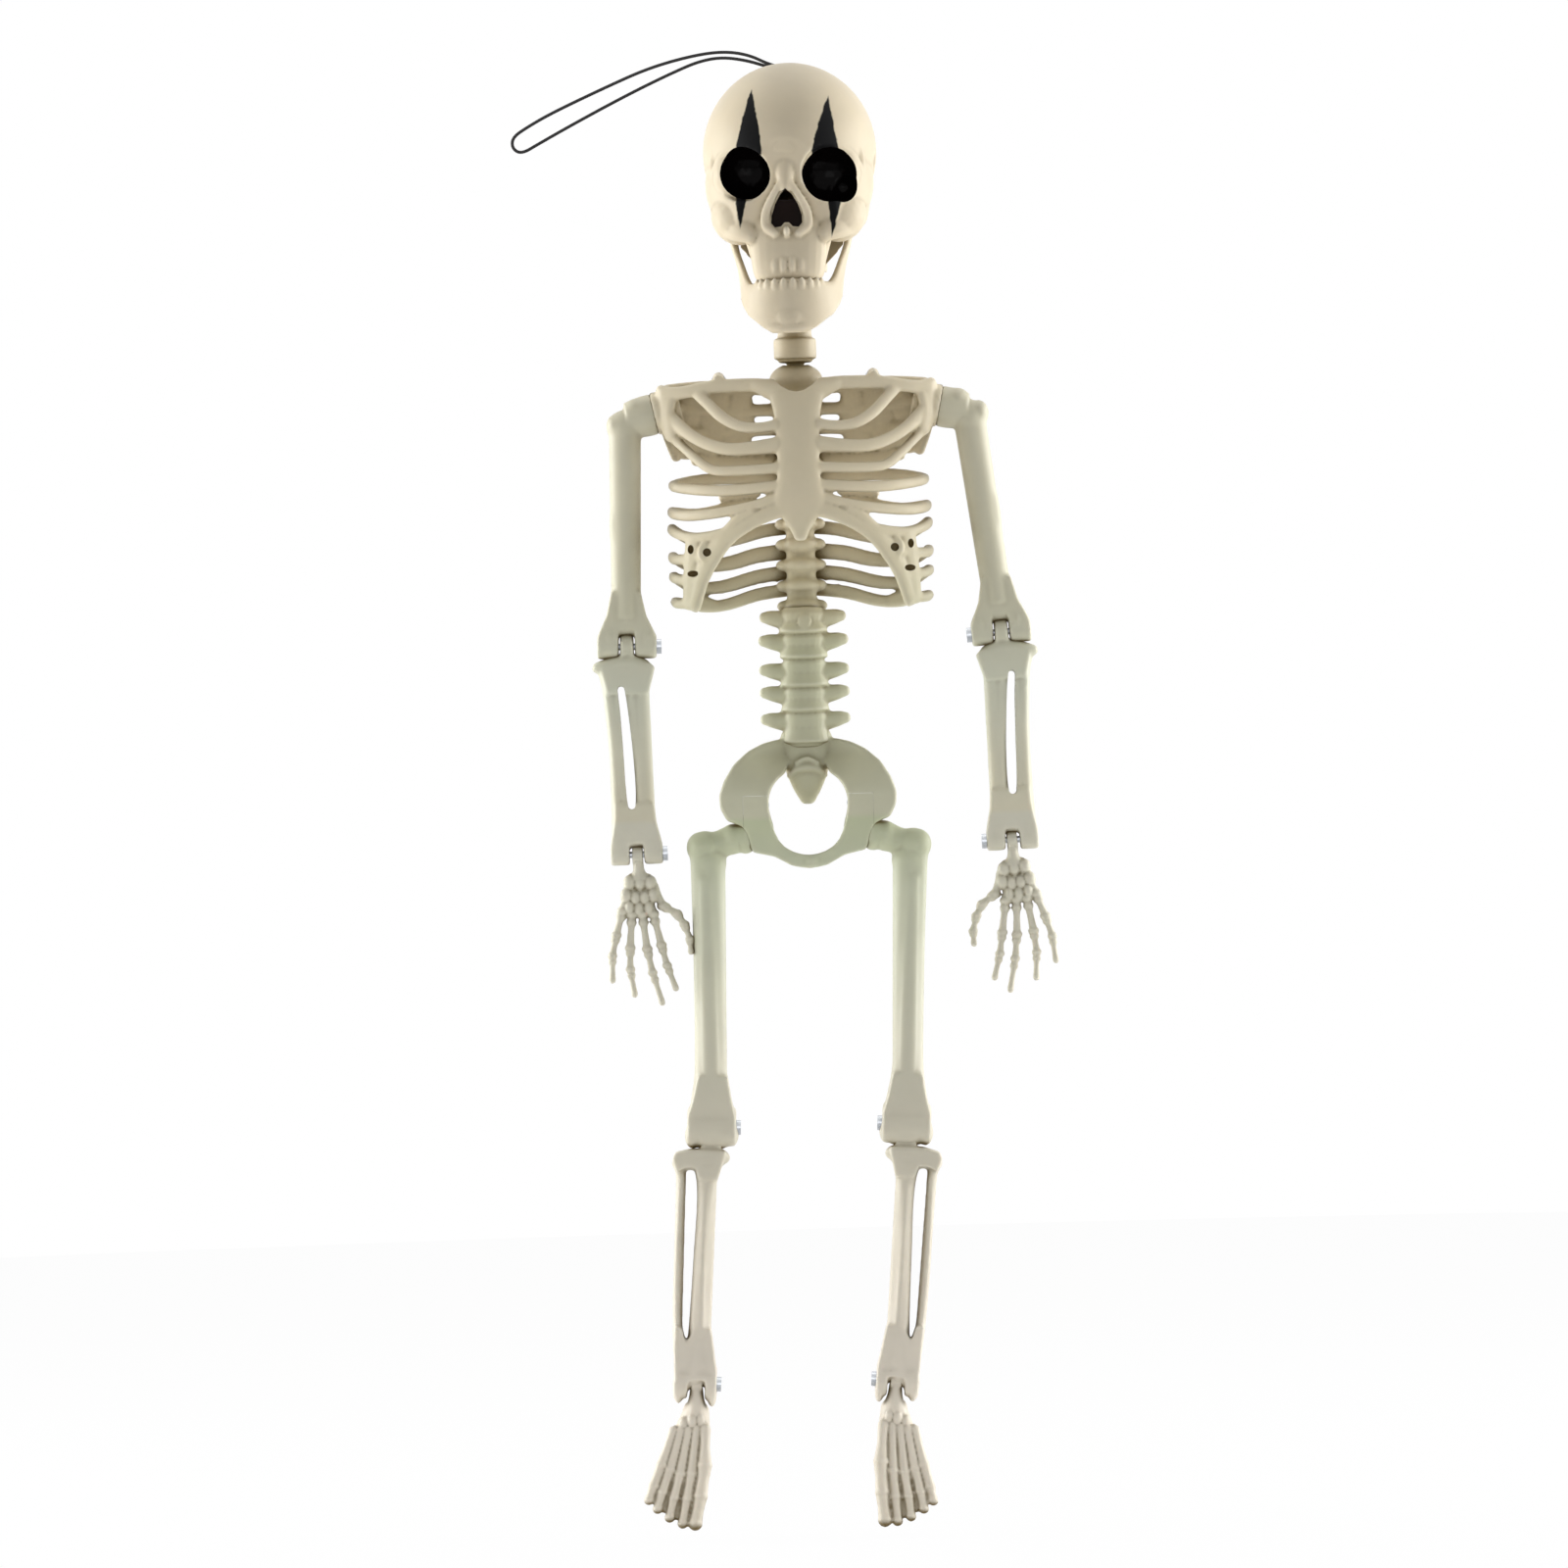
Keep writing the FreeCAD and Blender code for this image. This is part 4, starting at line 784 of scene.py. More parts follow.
def skullDetails(form):
    for way in (-1, 1):
        x = lambda value: value * way
        # cheekbone from the temple, under the eye, to the jaw
        sweep(form, [(x(20.2), -3, -38.6, 7.4, 3), (x(19.2), -9, -41.2, 9, 3.6),
                     (x(16.6), -13.6, -43.6, 9.5, 4.2),
                     (x(13.0), -17.0, -45.8, 8, 4.8), (x(9.8), -18.4, -48.0, 5, 4.4)],
              facing=lambda c: Vector((c.x * 0.9, c.y, 0)).normalized())
        # ridge of the temple, up from the outer corner of the eye
        sweep(form, [(x(19.6), -11.0, -34, 3.2, 3.2), (x(19.9), -11.6, -28, 2.6, 2.6),
                     (x(18.6), -12.4, -22, 2, 2.2),
                     (x(16.4), -13.2, -15, 1.6, 1.8)], facing=headOut)
        # brow over the eye
        sweep(form, [(x(3.5), -22.6, -26.5, 3.4, 3), (x(7.5), -22.0, -24.2, 3.2, 2.8),
                     (x(12.5), -19.8, -24.2, 3.2, 2.8),
                     (x(17.2), -15.6, -26.8, 3.2, 3), (x(19.4), -12.4, -31, 3.2, 3)],
              facing=headOut)
        # rim beside the nose, and the root of the eye tooth under it
        sweep(form, [(x(1.4), -23.4, -34.4, 1.8, 1.8), (x(3.6), -22.9, -38, 2.2, 1.8),
                     (x(5.5), -21.6, -42, 2.6, 2.0),
                     (x(5.6), -21.0, -45.6, 2.8, 2.2), (x(3.2), -21.8, -47.8, 2.4, 2.2)])
        sweep(form, [(x(7.4), -17.4, -43.5, 3.8, 3.4), (x(7.1), -18.6, -48, 3.4, 3),
                     (x(6.4), -19.0, -53, 3.0, 2.6)])
        sweep(form, [(x(10.8), -14.6, -45.5, 4.5, 4), (x(9.6), -15.0, -50, 3.8, 4),
                     (x(8.6), -15.0, -55, 3, 4)])
        # a full floor for the eye to be cut in
        ball(form, (x(11.2), -14.6, -31.6), (8.8, 6.0, 8.8))
        ball(form, (x(13.4), -10.5, -42), (7.6, 8.6, 8.0))
    # brow between the eyes, blended up into the forehead
    ball(form, (0, -9.8, -22.0), (15, 16, 13.0))
    # bridge of the nose and the bone between the eyes
    sweep(form, [(0, -20.6, -24, 9, 5), (0, -21.6, -28, 7, 5), (0, -22.5, -32, 5.4, 4.4),
                 (0, -23.5, -35.6, 3.4, 2.8)])
    # upper jaw, coming forward to the teeth
    sweep(form, [(0, -15.5, -44, 22, 11), (0, -16.0, -49, 21.2, 11.5), (0, -16.2, -54, 20.4, 12.4),
                 (0, -16.0, -57.6, 19.6, 12.4),
                 (0, -15.8, -59.1, 18.6, 11.6)], segments=24, square=0.85, tip=0.15)
    ball(form, (0, -22.3, -47.4), (1.0, 1.4, 1.6))
    for tooth in range(skullValues["teeth"]):
        turn = math.radians(-67 + 134 * tooth / (skullValues["teeth"] - 1))
        place = (9.4 * math.sin(turn), -14.6 - 7.7 * math.cos(turn), -56.4)
        wide = 1.05 if abs(turn) < 0.5 else 0.9
        ball(form, place, (wide, 0.8, skullValues["toothHeight"]), turn=(0, 0, math.degrees(turn)))


def eyeCutters():
    form = bmesh.new()
    for x, z, wide, high in (skullValues["leftEye"], skullValues["rightEye"]):
        deep = skullValues["eyeDepth"]
        ball(form, (x, -22.5 + abs(x) * 0.25, z), (wide, deep, high), turn=(0, 0, math.copysign(14, x)))
    x, z, wide, high = skullValues["leftEye"]
    ball(form, (x + 3.2, -18.6, z - 3.0), (4.4, 7.5, 4.6))
    return form


def makeSkull():
    face = welded("skullFace", moved(copyOf("skull_face"), headTurn.inverted()), skullValues["voxel"], 0)
    # the plain muzzle comes off, and the bones of the face are laid on in its place
    tilt = Matrix.Translation((0, -20.0, -43.0)) @ Matrix.Rotation(math.radians(15.5), 4, "X")
    cutBlock(face, (0, -10, 12), (60, 20, 54), tilt)
    cutBlock(face, (0, -11, -57.4), (60, 46, 20))
    form = bmesh.new()
    form.from_mesh(face.data)
    bpy.data.objects.remove(face)
    skullDetails(form)
    face = welded("skullFace", form, skullValues["voxel"], 3)
    temples = bmesh.new()
    for way in (-1, 1):
        ball(temples, (way * 31.4, -2.5, -29), (8.8, 10.5, 10.5))
        ball(temples, (way * 11.6, -23.8, -42.6), (3.4, 3.2, 3.6))
    carved(face, temples)
    face.data.materials.append(skullCoat)
    carved(face, eyeCutters(), socketCoat, 0.35)
    nose = bmesh.new()
    slab(nose, [(0, -35.9), (-1.5, -37.2), (-3.0, -39.8), (-4.1, -43.0), (-4.2, -45.0), (-3.2, -46.2),
                (-1.6, -46.0),
                (-0.6, -44.9), (0.6, -44.9), (1.6, -46.0), (3.2, -46.2), (4.2, -45.0), (4.1, -43.0),
                (3.0, -39.8),
                (1.5, -37.2)], -30, -18.6)
    carved(face, nose, noseCoat)
    finished(face, "head", skullCoat, ["skull_face"], headTurn)
    back = moved(copyOf("skull_back"), headTurn.inverted())
    for way in (-1, 1):
        ball(back, (way * 14.5, 7.5, -44.0), (3.0, 5, 4.4))
        sweep(back, [(way * 18.5, 6, -40, 2.4, 2), (way * 14, 15, -41.5, 2.2, 2), (0, 22.6, -42, 2.4, 2)],
              facing=lambda c: Vector((c.x, c.y, 0.2)).normalized())
    ball(back, (0, 25.2, -38.5), (3.2, 2.2, 2.6))
    back = welded("skullBack", back, skullValues["voxel"], 3)
    finished(back, "head", skullCoat, ["skull_back"], headTurn)


jawValues = {
    "teeth": 10,
    "toothHeight": 1.9,
    # outline of what is cut away beside the chin, in the front view
    "taper": [(13.6, -64.6), (13.2, -66.2), (11.4, -69.4), (7.4, -72.9), (4.2, -74.9), (4.2, -84), (24, -84),
              (24, -64.6)],
    "voxel": 0.36,
}


def makeJaw():
    form = bmesh.new()
    outward = lambda c: Vector((c.x, c.y + 5, 0)).normalized()
    half = [(16.2, -3.0, -45.0, 6.4, 2.2), (15.2, -4.0, -50.5, 6.4, 2.0), (13.6, -5.6, -56.0, 6.6, 2.1),
            (12.3, -8.4, -61.6, 7.6, 2.6), (11.4, -12.4, -65.0, 10.0, 2.9), (8.8, -17.2, -66.8, 13.2, 3.2),
            (5.0, -20.5, -67.4, 14.6, 3.4), (0, -21.8, -67.4, 14.9, 3.5)]
    path = half + [(-x, y, z, high, thick) for x, y, z, high, thick in half[-2::-1]]
    sweep(form, path, facing=outward, steps=5, segments=16, square=0.75)
    for way in (-1, 1):
        drum(form, (way * 14.6, -3, -45), (way * 18.2, -3, -45), 1.2)
    for tooth in range(jawValues["teeth"]):
        turn = math.radians(-70 + 140 * tooth / (jawValues["teeth"] - 1))
        place = (9.3 * math.sin(turn), -14.6 - 8.5 * math.cos(turn), -61.5)
        ball(form, place, (0.95, 0.7, jawValues["toothHeight"]), turn=(0, 0, math.degrees(turn)))
    # floor behind the teeth, so that the jaw isn't seen through
    sweep(form, [(0, -19.5, -66.5, 15, 5),
                 (0, -13.5, -67.0, 19, 5)], facing=(0, 0, 1), segments=16, square=0.8)
    sweep(form, [(-9.5, -16.9, -71.4, 2, 2), (-4.5, -21.2, -73.2, 2.4, 2.4), (0, -22.4, -73.4, 2.6, 2.6),
                 (4.5, -21.2, -73.2, 2.4, 2.4), (9.5, -16.9, -71.4, 2, 2)], facing=(0, 0, 1))
    ball(form, (0, -22.4, -70.5), (3.6, 1.5, 3.0))
    piece = welded("lowerJaw", form, jawValues["voxel"], 3)
    # the chin tapers in the front view
    taper = bmesh.new()
    for way in (-1, 1):
        slab(taper, [(way * x, z) for x, z in jawValues["taper"]], -40, 12)
    carved(piece, taper)
    smoothedOut(piece, 3)
    finished(piece, "jaw", skullCoat, ["jaw"], headTurn)


neckValues = {"voxel": 0.3, "rounds": 12}


def makeNeck():
    piece = welded("neckPost", copyOf("neck_post"), neckValues["voxel"], neckValues["rounds"])
    finished(piece, "neck", boneCoat, ["neck_post"])


makeSkull()
makeJaw()
makeNeck()
print("skull, jaw and neck shaped")


chestValues = {
    "depths": [(-80, 9.5), (-90, 12.5), (-98, 16.0), (-110, 18.0), (-125, 19.0), (-138, 18.4), (-150, 16.8)],
    "halfWidths": [(-80, 40.0), (-92, 39.0), (-102, 35.5), (-112, 34.2), (-125, 35.0), (-150, 34.6)],
    "barThickness": 3.0,
    "backBarThickness": 2.8,
    "lowerPost": (25.5, -133.0),  # across and height
    "upperPost": 21.0,
    "vertebrae": 12,
    "firstVertebra": -86,
    "vertebraGap": 5.6,
    "voxel": 0.46,
}


def between(pairs, z):
    return float(np.interp(-z, [-height for height, _ in pairs], [value for _, value in pairs]))


def chestPoint(x, z, way=-1):
    # a point on the barrel of the chest, way -1 in front and 1 behind
    half = between(chestValues["halfWidths"], z)
    return way * between(chestValues["depths"], z) * math.sqrt(max(0.0, 1 - (x / half) ** 2))


def chestOut(centre):
    half = between(chestValues["halfWidths"], centre.z)
    deep = between(chestValues["depths"], centre.z)
    return Vector((centre.x / half ** 2, centre.y / deep ** 2, 0)).normalized()


def chestBar(form, way, front, points, thick=None):
    # points are (x, z, height[, y]) on the figure's left; y is given where the bar leaves the barrel
    stations = []
    for point in points:
        x, z, high = point[:3]
        y = point[3] if len(point) > 3 else chestPoint(x, z, front)
        stations.append((way * x, y, z, high, thick or chestValues["barThickness"]))
    sweep(form, stations, facing=chestOut, steps=3, segments=10, square=0.8)


frontBars = [
    # each (x, z, height) from the breastbone outwards
    [(6, -104.7, 4.6), (12, -105.2, 3.9), (19, -105.3, 3.6), (25, -103.4, 3.5), (30, -100.2, 3.6),
     (34.5, -96, 4.4)],
    [(5.5, -110.9, 3.2), (12, -111.2, 3.0), (20, -111.2, 2.9), (24, -110.4, 2.8), (27.5, -107.6, 2.7),
     (31, -104.2, 2.5), (34.8, -100.2, 3.2)],
    [(6, -115.7, 3.2), (12, -116.2, 3.3), (20, -116.5, 3.2), (26, -116.1, 3.2), (31, -115.4, 3.0),
     (33.4, -114.8, 3.0, -5.5), (34.1, -114.2, 3.0, -0.3)],
    [(6, -119.4, 3.8), (11, -120.5, 3.0), (17, -121.7, 3.0), (24, -122.6, 3.0), (30, -122.8, 3.1),
     (33.6, -122.2, 3.1, -5.2), (34.6, -121.4, 3.1, -0.3)],
    [(15, -126.0, 3.4), (21, -128.0, 3.0), (27, -128.9, 3.0), (31, -128.4, 3.0), (34.0, -127.0, 3.0, -4.8),
     (34.8, -126.0, 3.0, -0.3)],
    [(26, -134.0, 3.4), (30.5, -134.6, 3.2), (34.0, -134.4, 3.1, -4.8), (34.8, -133.6, 3.1, -0.3)],
    [(28, -140.6, 3.2), (31.5, -140.2, 3.0), (34.0, -139.6, 3.0, -4.8), (34.7, -139.0, 3.0, -0.3)],
    [(29.4, -146.3, 3.2), (32, -146.6, 2.9), (33.8, -146.4, 2.8, -4.6), (34.4, -145.8, 2.8, -0.3)],
    # collar bone and the bar that leaves it
    [(5.5, -90.6, 4.2), (9.0, -88.3, 3.9), (14, -87.9, 3.8), (21, -88.0, 3.8), (26, -88.6, 3.8),
     (31, -89.3, 3.6),
     (36, -89.8, 4.8)],
    [(26.4, -90.2, 3.4), (23.6, -93.2, 3.3), (20.2, -96.6, 3.3), (15.6, -99.2, 3.1), (10.5, -99.8, 3.0),
     (6, -99.3, 3.2)],
    # shoulder plate and the slanting edge of the costal arch
    [(35.0, -88.8, 7.4, -5.2), (35.9, -93, 7.2, -5.0), (35.4, -97, 6.0, -5.4), (34.2, -101, 4.2, -6.0)],
    [(4.5, -121.8, 5.0), (9.5, -123.6, 4.2), (15, -126.2, 4.2), (20, -129.6, 4.6), (24.2, -134.0, 6.0),
     (27.2, -140, 5.0), (29.4, -147.4, 4.4)],
    [(28.8, -129.4, 5.4), (29.6, -135, 5.0), (30.2, -142, 4.6), (30.4, -147, 4.4)],
    [(13, -122.4, 3.4), (18, -125.6, 3.0), (22, -130.4, 3.6)],
]
backBars = [
    [(3, -88.4, 3.6), (14, -87.8, 3.6), (25, -87.2, 3.6), (35, -88.0, 3.6)],
    [(3, -93.7, 3.6), (14, -93.7, 3.6), (25, -93.2, 3.5), (36, -93.0, 3.5)],
    [(3, -98.8, 3.8), (14, -99.0, 3.8), (25, -99.6, 3.5), (35.4, -100.2, 3.5)],
    [(3, -103.9, 3.0), (14, -104.0, 3.2), (25, -103.6, 3.6), (32, -102.0, 3.4)],
    [(3, -107.8, 3.4), (14, -107.8, 3.5), (22, -107.6, 3.6), (28, -107.0, 3.4)],
    [(3, -112.0, 3.6), (14, -112.0, 3.6), (26, -112.4, 3.4), (32, -113.4, 3.2), (34.1, -114.2, 3.0, 0.4)],
    [(11.6, -116.0, 3.0), (16, -116.4, 3.0), (21, -117.2, 2.2)],
    [(3, -120.2, 3.4), (9, -120.2, 3.2), (15, -119.3, 3.4), (21, -120.4, 3.2), (28, -121.6, 3.0),
     (34.6, -121.4, 3.0, 0.4)],
    [(3, -125.9, 4.0), (10, -126.7, 3.8), (17, -128.7, 3.4), (25, -130.2, 3.2), (31, -128.4, 3.0),
     (34.8, -126.0, 3.0, 0.4)],
    [(3, -132.4, 4.6), (12, -133.3, 4.5), (20, -135.4, 4.2), (30, -136.0, 3.2), (34.8, -133.6, 3.0, 0.4)],
    [(3, -138.1, 4.2), (12, -139.2, 4.1), (22, -141.8, 3.8), (30, -141.6, 3.2), (34.7, -139.0, 3.0, 0.4)],
    [(3, -142.9, 3.8), (12, -144.1, 3.7), (20, -146.5, 3.5), (26, -147.2, 3.3), (31, -146.4, 3.0),
     (34.4, -145.8, 2.8, 0.4)],
    [(24, -146.8, 3.2), (29, -144.6, 3.2), (31.5, -140, 3.0)],
    # blade of the shoulder, edge by edge
    [(15.0, -88.5, 6), (15.6, -94, 8), (16.0, -99, 9), (18.5, -104, 8)],
    [(22, -88.5, 9), (22.5, -94, 10), (23.5, -99, 10), (25.5, -104.5, 8)],
    [(29, -88.0, 8), (29.5, -93, 9), (30.6, -99, 8), (31, -105.5, 5)],
    [(35.2, -88.2, 5), (36.0, -94, 6), (35.0, -100, 5), (33.0, -106, 4)],
]


def shoulderDrum(form, way):
    # the round end that takes the arm
    inner = Vector((way * 31.5, 0, -93.0))
    outer = Vector((way * 38.9, 0, -94.6))
    drum(form, inner, outer, 5.6, 5.9)


def armSeats():
    form = bmesh.new()
    for way in (-1, 1):
        drum(form, (way * 33.0, 0, -93.2), (way * 45.0, 0, -95.9), 4.6)
    return form


def makeRibcage():
    postX, postZ = chestValues["lowerPost"]
    upperX = chestValues["upperPost"]
    front = bmesh.new()
    back = bmesh.new()
    sweep(front, [(0, -13.4, -91.2, 15, 4.4), (0, -15.2, -97, 12.6, 4.0), (0, -17.2, -106, 11.6, 3.8),
                  (0, -18.6, -114, 11.8, 3.8), (0, -18.8, -120.5, 14.5, 3.6), (0, -18.6, -124, 10.5, 3.4),
                  (0, -18.4, -127.2, 6.0, 3.2),
                  (0, -18.2, -129.8, 3.6, 3.0)], segments=20, square=0.75, tip=0.6)
    for way in (-1, 1):
        for bar in frontBars:
            chestBar(front, way, -1, bar)
        for bar in backBars:
            chestBar(back, way, 1, bar, chestValues["backBarThickness"])
        # arms of the notch over the breastbone
        sweep(front, [(way * 1.0, -13.8, -91.4, 6.0, 3.6), (way * 5.5, -13.0, -89.8, 6.4, 3.6),
                      (way * 11.0, -11.8, -88.0, 3.9, 3.2)], facing=(0, -1, 0))
        # posts of the lower screws stand behind the arch
        padX = postX - 0.5
        skin = chestPoint(padX, postZ)
        drum(front, (way * postX, chestPoint(postX, postZ) - 0.9, postZ), (way * postX, 0, postZ), 2.6)
        drum(front, (way * padX, skin - 1.1, postZ), (way * padX, skin + 2, postZ), 3.0)
        # the seat of the arm, half of it on each shell
        shoulderDrum(front, way)
        shoulderDrum(back, way)
        drum(front, (way * upperX, -11.0, -86.6), (way * upperX, -0.2, -85.2), 1.6)
    for step in range(chestValues["vertebrae"]):
        z = chestValues["firstVertebra"] - chestValues["vertebraGap"] * step
        ball(back, (0, 13.2, z), (4.6, 4.4, 2.5))
        ball(back, (0, 19.0, z - 1.4), (1.5, 3.0, 1.9), turn=(-20, 0, 0))
        for way in (-1, 1):
            ball(back, (way * 4.6, 14.6, z), (2.4, 2.2, 1.7))
    sweep(back, [(0, 14.0, -84, 8.0, 6), (0, 14.4, -110, 7.6, 6), (0, 13.4, -147.6, 8.4, 6)], segments=16)
    for way in (-1, 1):
        # spine of the blade, a low slanting ridge
        sweep(back, [(way * 14, chestPoint(14, -95, 1) + 1.0, -95.5, 2.4, 2.4),
                     (way * 24, chestPoint(24, -91, 1) + 1.2, -91.5, 2.4, 2.6),
                     (way * 34, chestPoint(34, -88, 1) + 1.0, -88.5, 2.6, 2.4)], facing=chestOut)
    # collar that carries the neck, and the low posts that meet the screws
    ball(back, (0, 0.4, -86.6), (7.4, 7.0, 4.9))
    sweep(back, [(0, 3, -87.5, 9, 9), (0, 12, -89.5, 9, 8)], facing=(0, 0, 1))
    for way in (-1, 1):
        drum(back, (way * postX, 0.05, postZ), (way * postX, chestPoint(postX, postZ, 1), postZ), 2.7)
        drum(back, (way * upperX, 0.05, -85.3), (way * upperX, 11, -87.0), 1.7)
    front = welded("ribcageFront", front, chestValues["voxel"], 3)
    # cut at the joint with the back shell, and round each hole
    cutBlock(front, (0, 20.0, -115), (120, 39.9, 120))
    holes = bmesh.new()
    for way in (-1, 1):
        drum(holes, (way * 25.4, -25, postZ), (way * 25.4, -12.6, postZ), 1.15)
        ball(holes, (way * 29.8, chestPoint(29.8, -132.2) - 1.6, -132.0), (0.9, 2.0, 1.3))
        ball(holes, (way * 29.4, chestPoint(29.4, -139) - 1.6, -138.6), (1.9, 2.0, 0.9))
        ball(holes, (way * 27.2, chestPoint(27.2, -133.8) - 0.5, -133.8), (0.9, 1.6, 1.0))
        drum(holes, (way * upperX, -30, -84.7), (way * upperX, -11.8, -84.7), 1.2)
    carved(front, holes, None, 0.3)
    # deep notch over the breastbone, where the collar shows
    notch = bmesh.new()
    slab(notch, [(-8.4, -83), (-6.9, -86.0), (-4.2, -88.6), (-2.0, -89.9), (0, -90.3), (2.0, -89.9),
                 (4.2, -88.6),
                 (6.9, -86.0), (8.4, -83)], -30, -7.6)
    carved(front, notch)
    carved(front, armSeats())
    finished(front, "chest", boneCoat, ["ribcage_front"])
    back = welded("ribcageBack", back, chestValues["voxel"], 3)
    cutBlock(back, (0, -30.0, -150), (120, 59.9, 118))
    well = bmesh.new()
    drum(well, (0, 0, -70), (0, 0, -87.6), 3.4)
    carved(back, well)
    carved(back, armSeats())
    finished(back, "chest", boneCoat, ["ribcage_back"])


makeRibcage()
print("ribcage shaped")


spineValues = {
    "blades": [-150.6, -157.0, -165.0, -171.2, -178.5],  # heights of the side blades
    "creases": [-155.3, -162.3, -170.0, -176.8],
    "bladeReach": 10.9,
    "bodyWidth": 12.4,
    "bodyDepth": 11.0,
    "voxel": 0.36,
}


def makeLumbar():
    form = bmesh.new()
    wide, deep = spineValues["bodyWidth"], spineValues["bodyDepth"]
    creases = [-148.6, *spineValues["creases"], -185.5]
    stations = []
    for top, bottom in zip(creases, creases[1:]):
        for z, more in ((top - 0.4, -1.2), (top - 1.3, -0.2), ((top + bottom) / 2, -0.8), (bottom + 1.5, 0.5),
                        (bottom + 0.6, 0.8), (bottom + 0.1, -1.2)):
            stations.append((0, 10, z, wide + more, deep + more))
    sweep(form, stations, steps=2, segments=24, square=0.85, tip=0.2)
    for index, z in enumerate(spineValues["blades"]):
        reach = spineValues["bladeReach"] - (0.5 if index == 0 else 0)
        side = [(reach, 10.2, z, 3.2, 3.0), (reach * 0.88, 10.0, z - 0.1, 4.0, 3.8),
                (reach * 0.66, 9.8, z - 0.5, 4.8, 4.4), (3, 9.8, z - 1.0, 6.0, 6.4)]
        sweep(form, side + [(-x, *rest) for x, *rest in side[::-1]], segments=14)
        sweep(form, [(0, 14, z, 3.6, 2.6), (0, 19.3, z - 1.6, 2.8, 2.2)], facing=(0, 0, 1))
    # small round gate mark under the ribcage
    drum(form, (0.5, 6.0, -151.9), (0.5, 4.2, -151.9), 1.75)
    piece = welded("lumbarSpine", form, spineValues["voxel"], 2)
    finished(piece, "pelvis", boneCoat, ["lumbar_spine"])


pelvisValues = {
    "wall": 3.4,
    "voxel": 0.42,
    # outline of one blade and of the arch under it, in the front view
    "blade": [(4.5, -184.3), (8, -184), (12, -185), (16, -187), (20, -190.5), (22.8, -195), (24.2, -199),
              (23.9, -202.6),
              (22.2, -205.8), (18, -207.5), (17, -210), (15.6, -214.2), (10.0, -214.5), (8.6, -212),
              (9.4, -209),
              (10.2, -206), (10.8, -203), (10.7, -200), (9.8, -197.2), (8.2, -195), (6, -193.3), (4.5, -190)],
    "arch": [(10.9, -198.6), (16.2, -199.0), (17.9, -205.2), (17.2, -208.5), (15.3, -214.6),
             (12, -215.3), (9.5, -215.9),
             (7.5, -217.0), (5, -218.4), (2.5, -219.0), (-0.6, -219.3), (-0.6, -215.7), (2.2, -215.4),
             (4.4, -214.7),
             (6.6, -213.4), (8.2, -211.6), (9.4, -209), (10.2, -206), (10.7, -203)],
    "foot": [(10.9, -199.2), (16.2, -199.8), (17.9, -205.2), (17.2, -208.5), (15.3, -214.6),
             (11, -214.8), (9.4, -209),
             (10.7, -203)],
}


def bladeDish(vert):
    # the blade leans forward from the sacrum to its outer edge, and hangs straight below
    x, z = abs(vert.co.x), vert.co.z
    away = max(7.6 - 0.46 * (x - 6) + 0.10 * (z + 204), 1.9)
    hang = min(max((-187 - z) / 13, 0), 1)
    hang = hang * hang * (3 - 2 * hang)
    swell = 1.3 * math.exp(-((x - 16) ** 2 + (z + 192.5) ** 2) / 36)
    vert.co.y += away * (1 - hang) - 2.5 * hang - swell


def makePelvis():
    blades = bmesh.new()
    half = pelvisValues["wall"] / 2
    for way in (-1, 1):
        slab(blades, [(way * x, z) for x, z in pelvisValues["blade"]], -half, half)
    blades = welded("blades", blades, pelvisValues["voxel"], 4)
    back, front = bmesh.new(), bmesh.new()
    for form in (back, front):
        form.from_mesh(blades.data)
        for vert in form.verts:
            bladeDish(vert)
    bpy.data.objects.remove(blades)
    for way in (-1, 1):
        slab(front, [(way * x, z) for x, z in pelvisValues["arch"]], -4.2, 0.6)
        slab(back, [(way * x, z) for x, z in pelvisValues["foot"]], -0.4, 4.6)
        ball(back, (way * 13.5, 2.4, -208.4), (4.0, 4.4, 5.4))
    ball(front, (0.6, -4.0, -217.4), (1.5, 1.0, 1.5))
    # wedge of the sacrum with its low arches
    sweep(back, [(0, 10.0, -184.2, 14.5, 8), (0, 9.4, -189, 13.4, 7), (0, 8.2, -193.0, 11.6, 6),
                 (0, 8.0, -196.2, 9.2, 5),
                 (0, 8.6, -198.8, 6.6, 4.4), (0, 9.2, -200.2, 4.8, 3.6)], segments=18, square=0.85, tip=1.0)
    sweep(back, [(-5.0, 6.4, -194.0, 1.6, 2.2), (-2.4, 5.3, -192.2, 1.8, 2.4), (2.4, 5.3, -192.2, 1.8, 2.4),
                 (5.0, 6.4, -194.0, 1.6, 2.2)])
    sweep(back, [(-3.0, 5.5, -190.6, 1.2, 1.8), (0, 4.9, -189.4, 1.4, 1.8), (3.0, 5.5, -190.6, 1.2, 1.8)])
    ball(back, (0, 5.9, -191.6), (2.4, 1.4, 1.2))
    for z in (-187.5, -192.0, -196.0):
        ball(back, (0, 12.6, z), (1.8, 2.6, 1.5))
    front = welded("pelvisFront", front, pelvisValues["voxel"], 6)
    back = welded("pelvisBack", back, pelvisValues["voxel"], 6)
    # the front shell keeps the arch and the blades' fronts beside it, and the back shell makes room for them
    cutBlock(front, (0, 20.0, -210), (80, 39.9, 60))
    cutBlock(front, (0, -10, -189.3), (80, 60, 20))
    for way in (-1, 1):
        cutBlock(front, (way * 27.7, -10, -209), (20, 60, 40))
    cutBlock(back, (0, -20.0, -221.5), (35.5, 39.9, 44.5))
    finished(front, "pelvis", boneCoat, ["pelvis_front"])
    finished(back, "pelvis", boneCoat, ["pelvis_back"])


makeLumbar()
makePelvis()
print("lower spine and pelvis shaped")


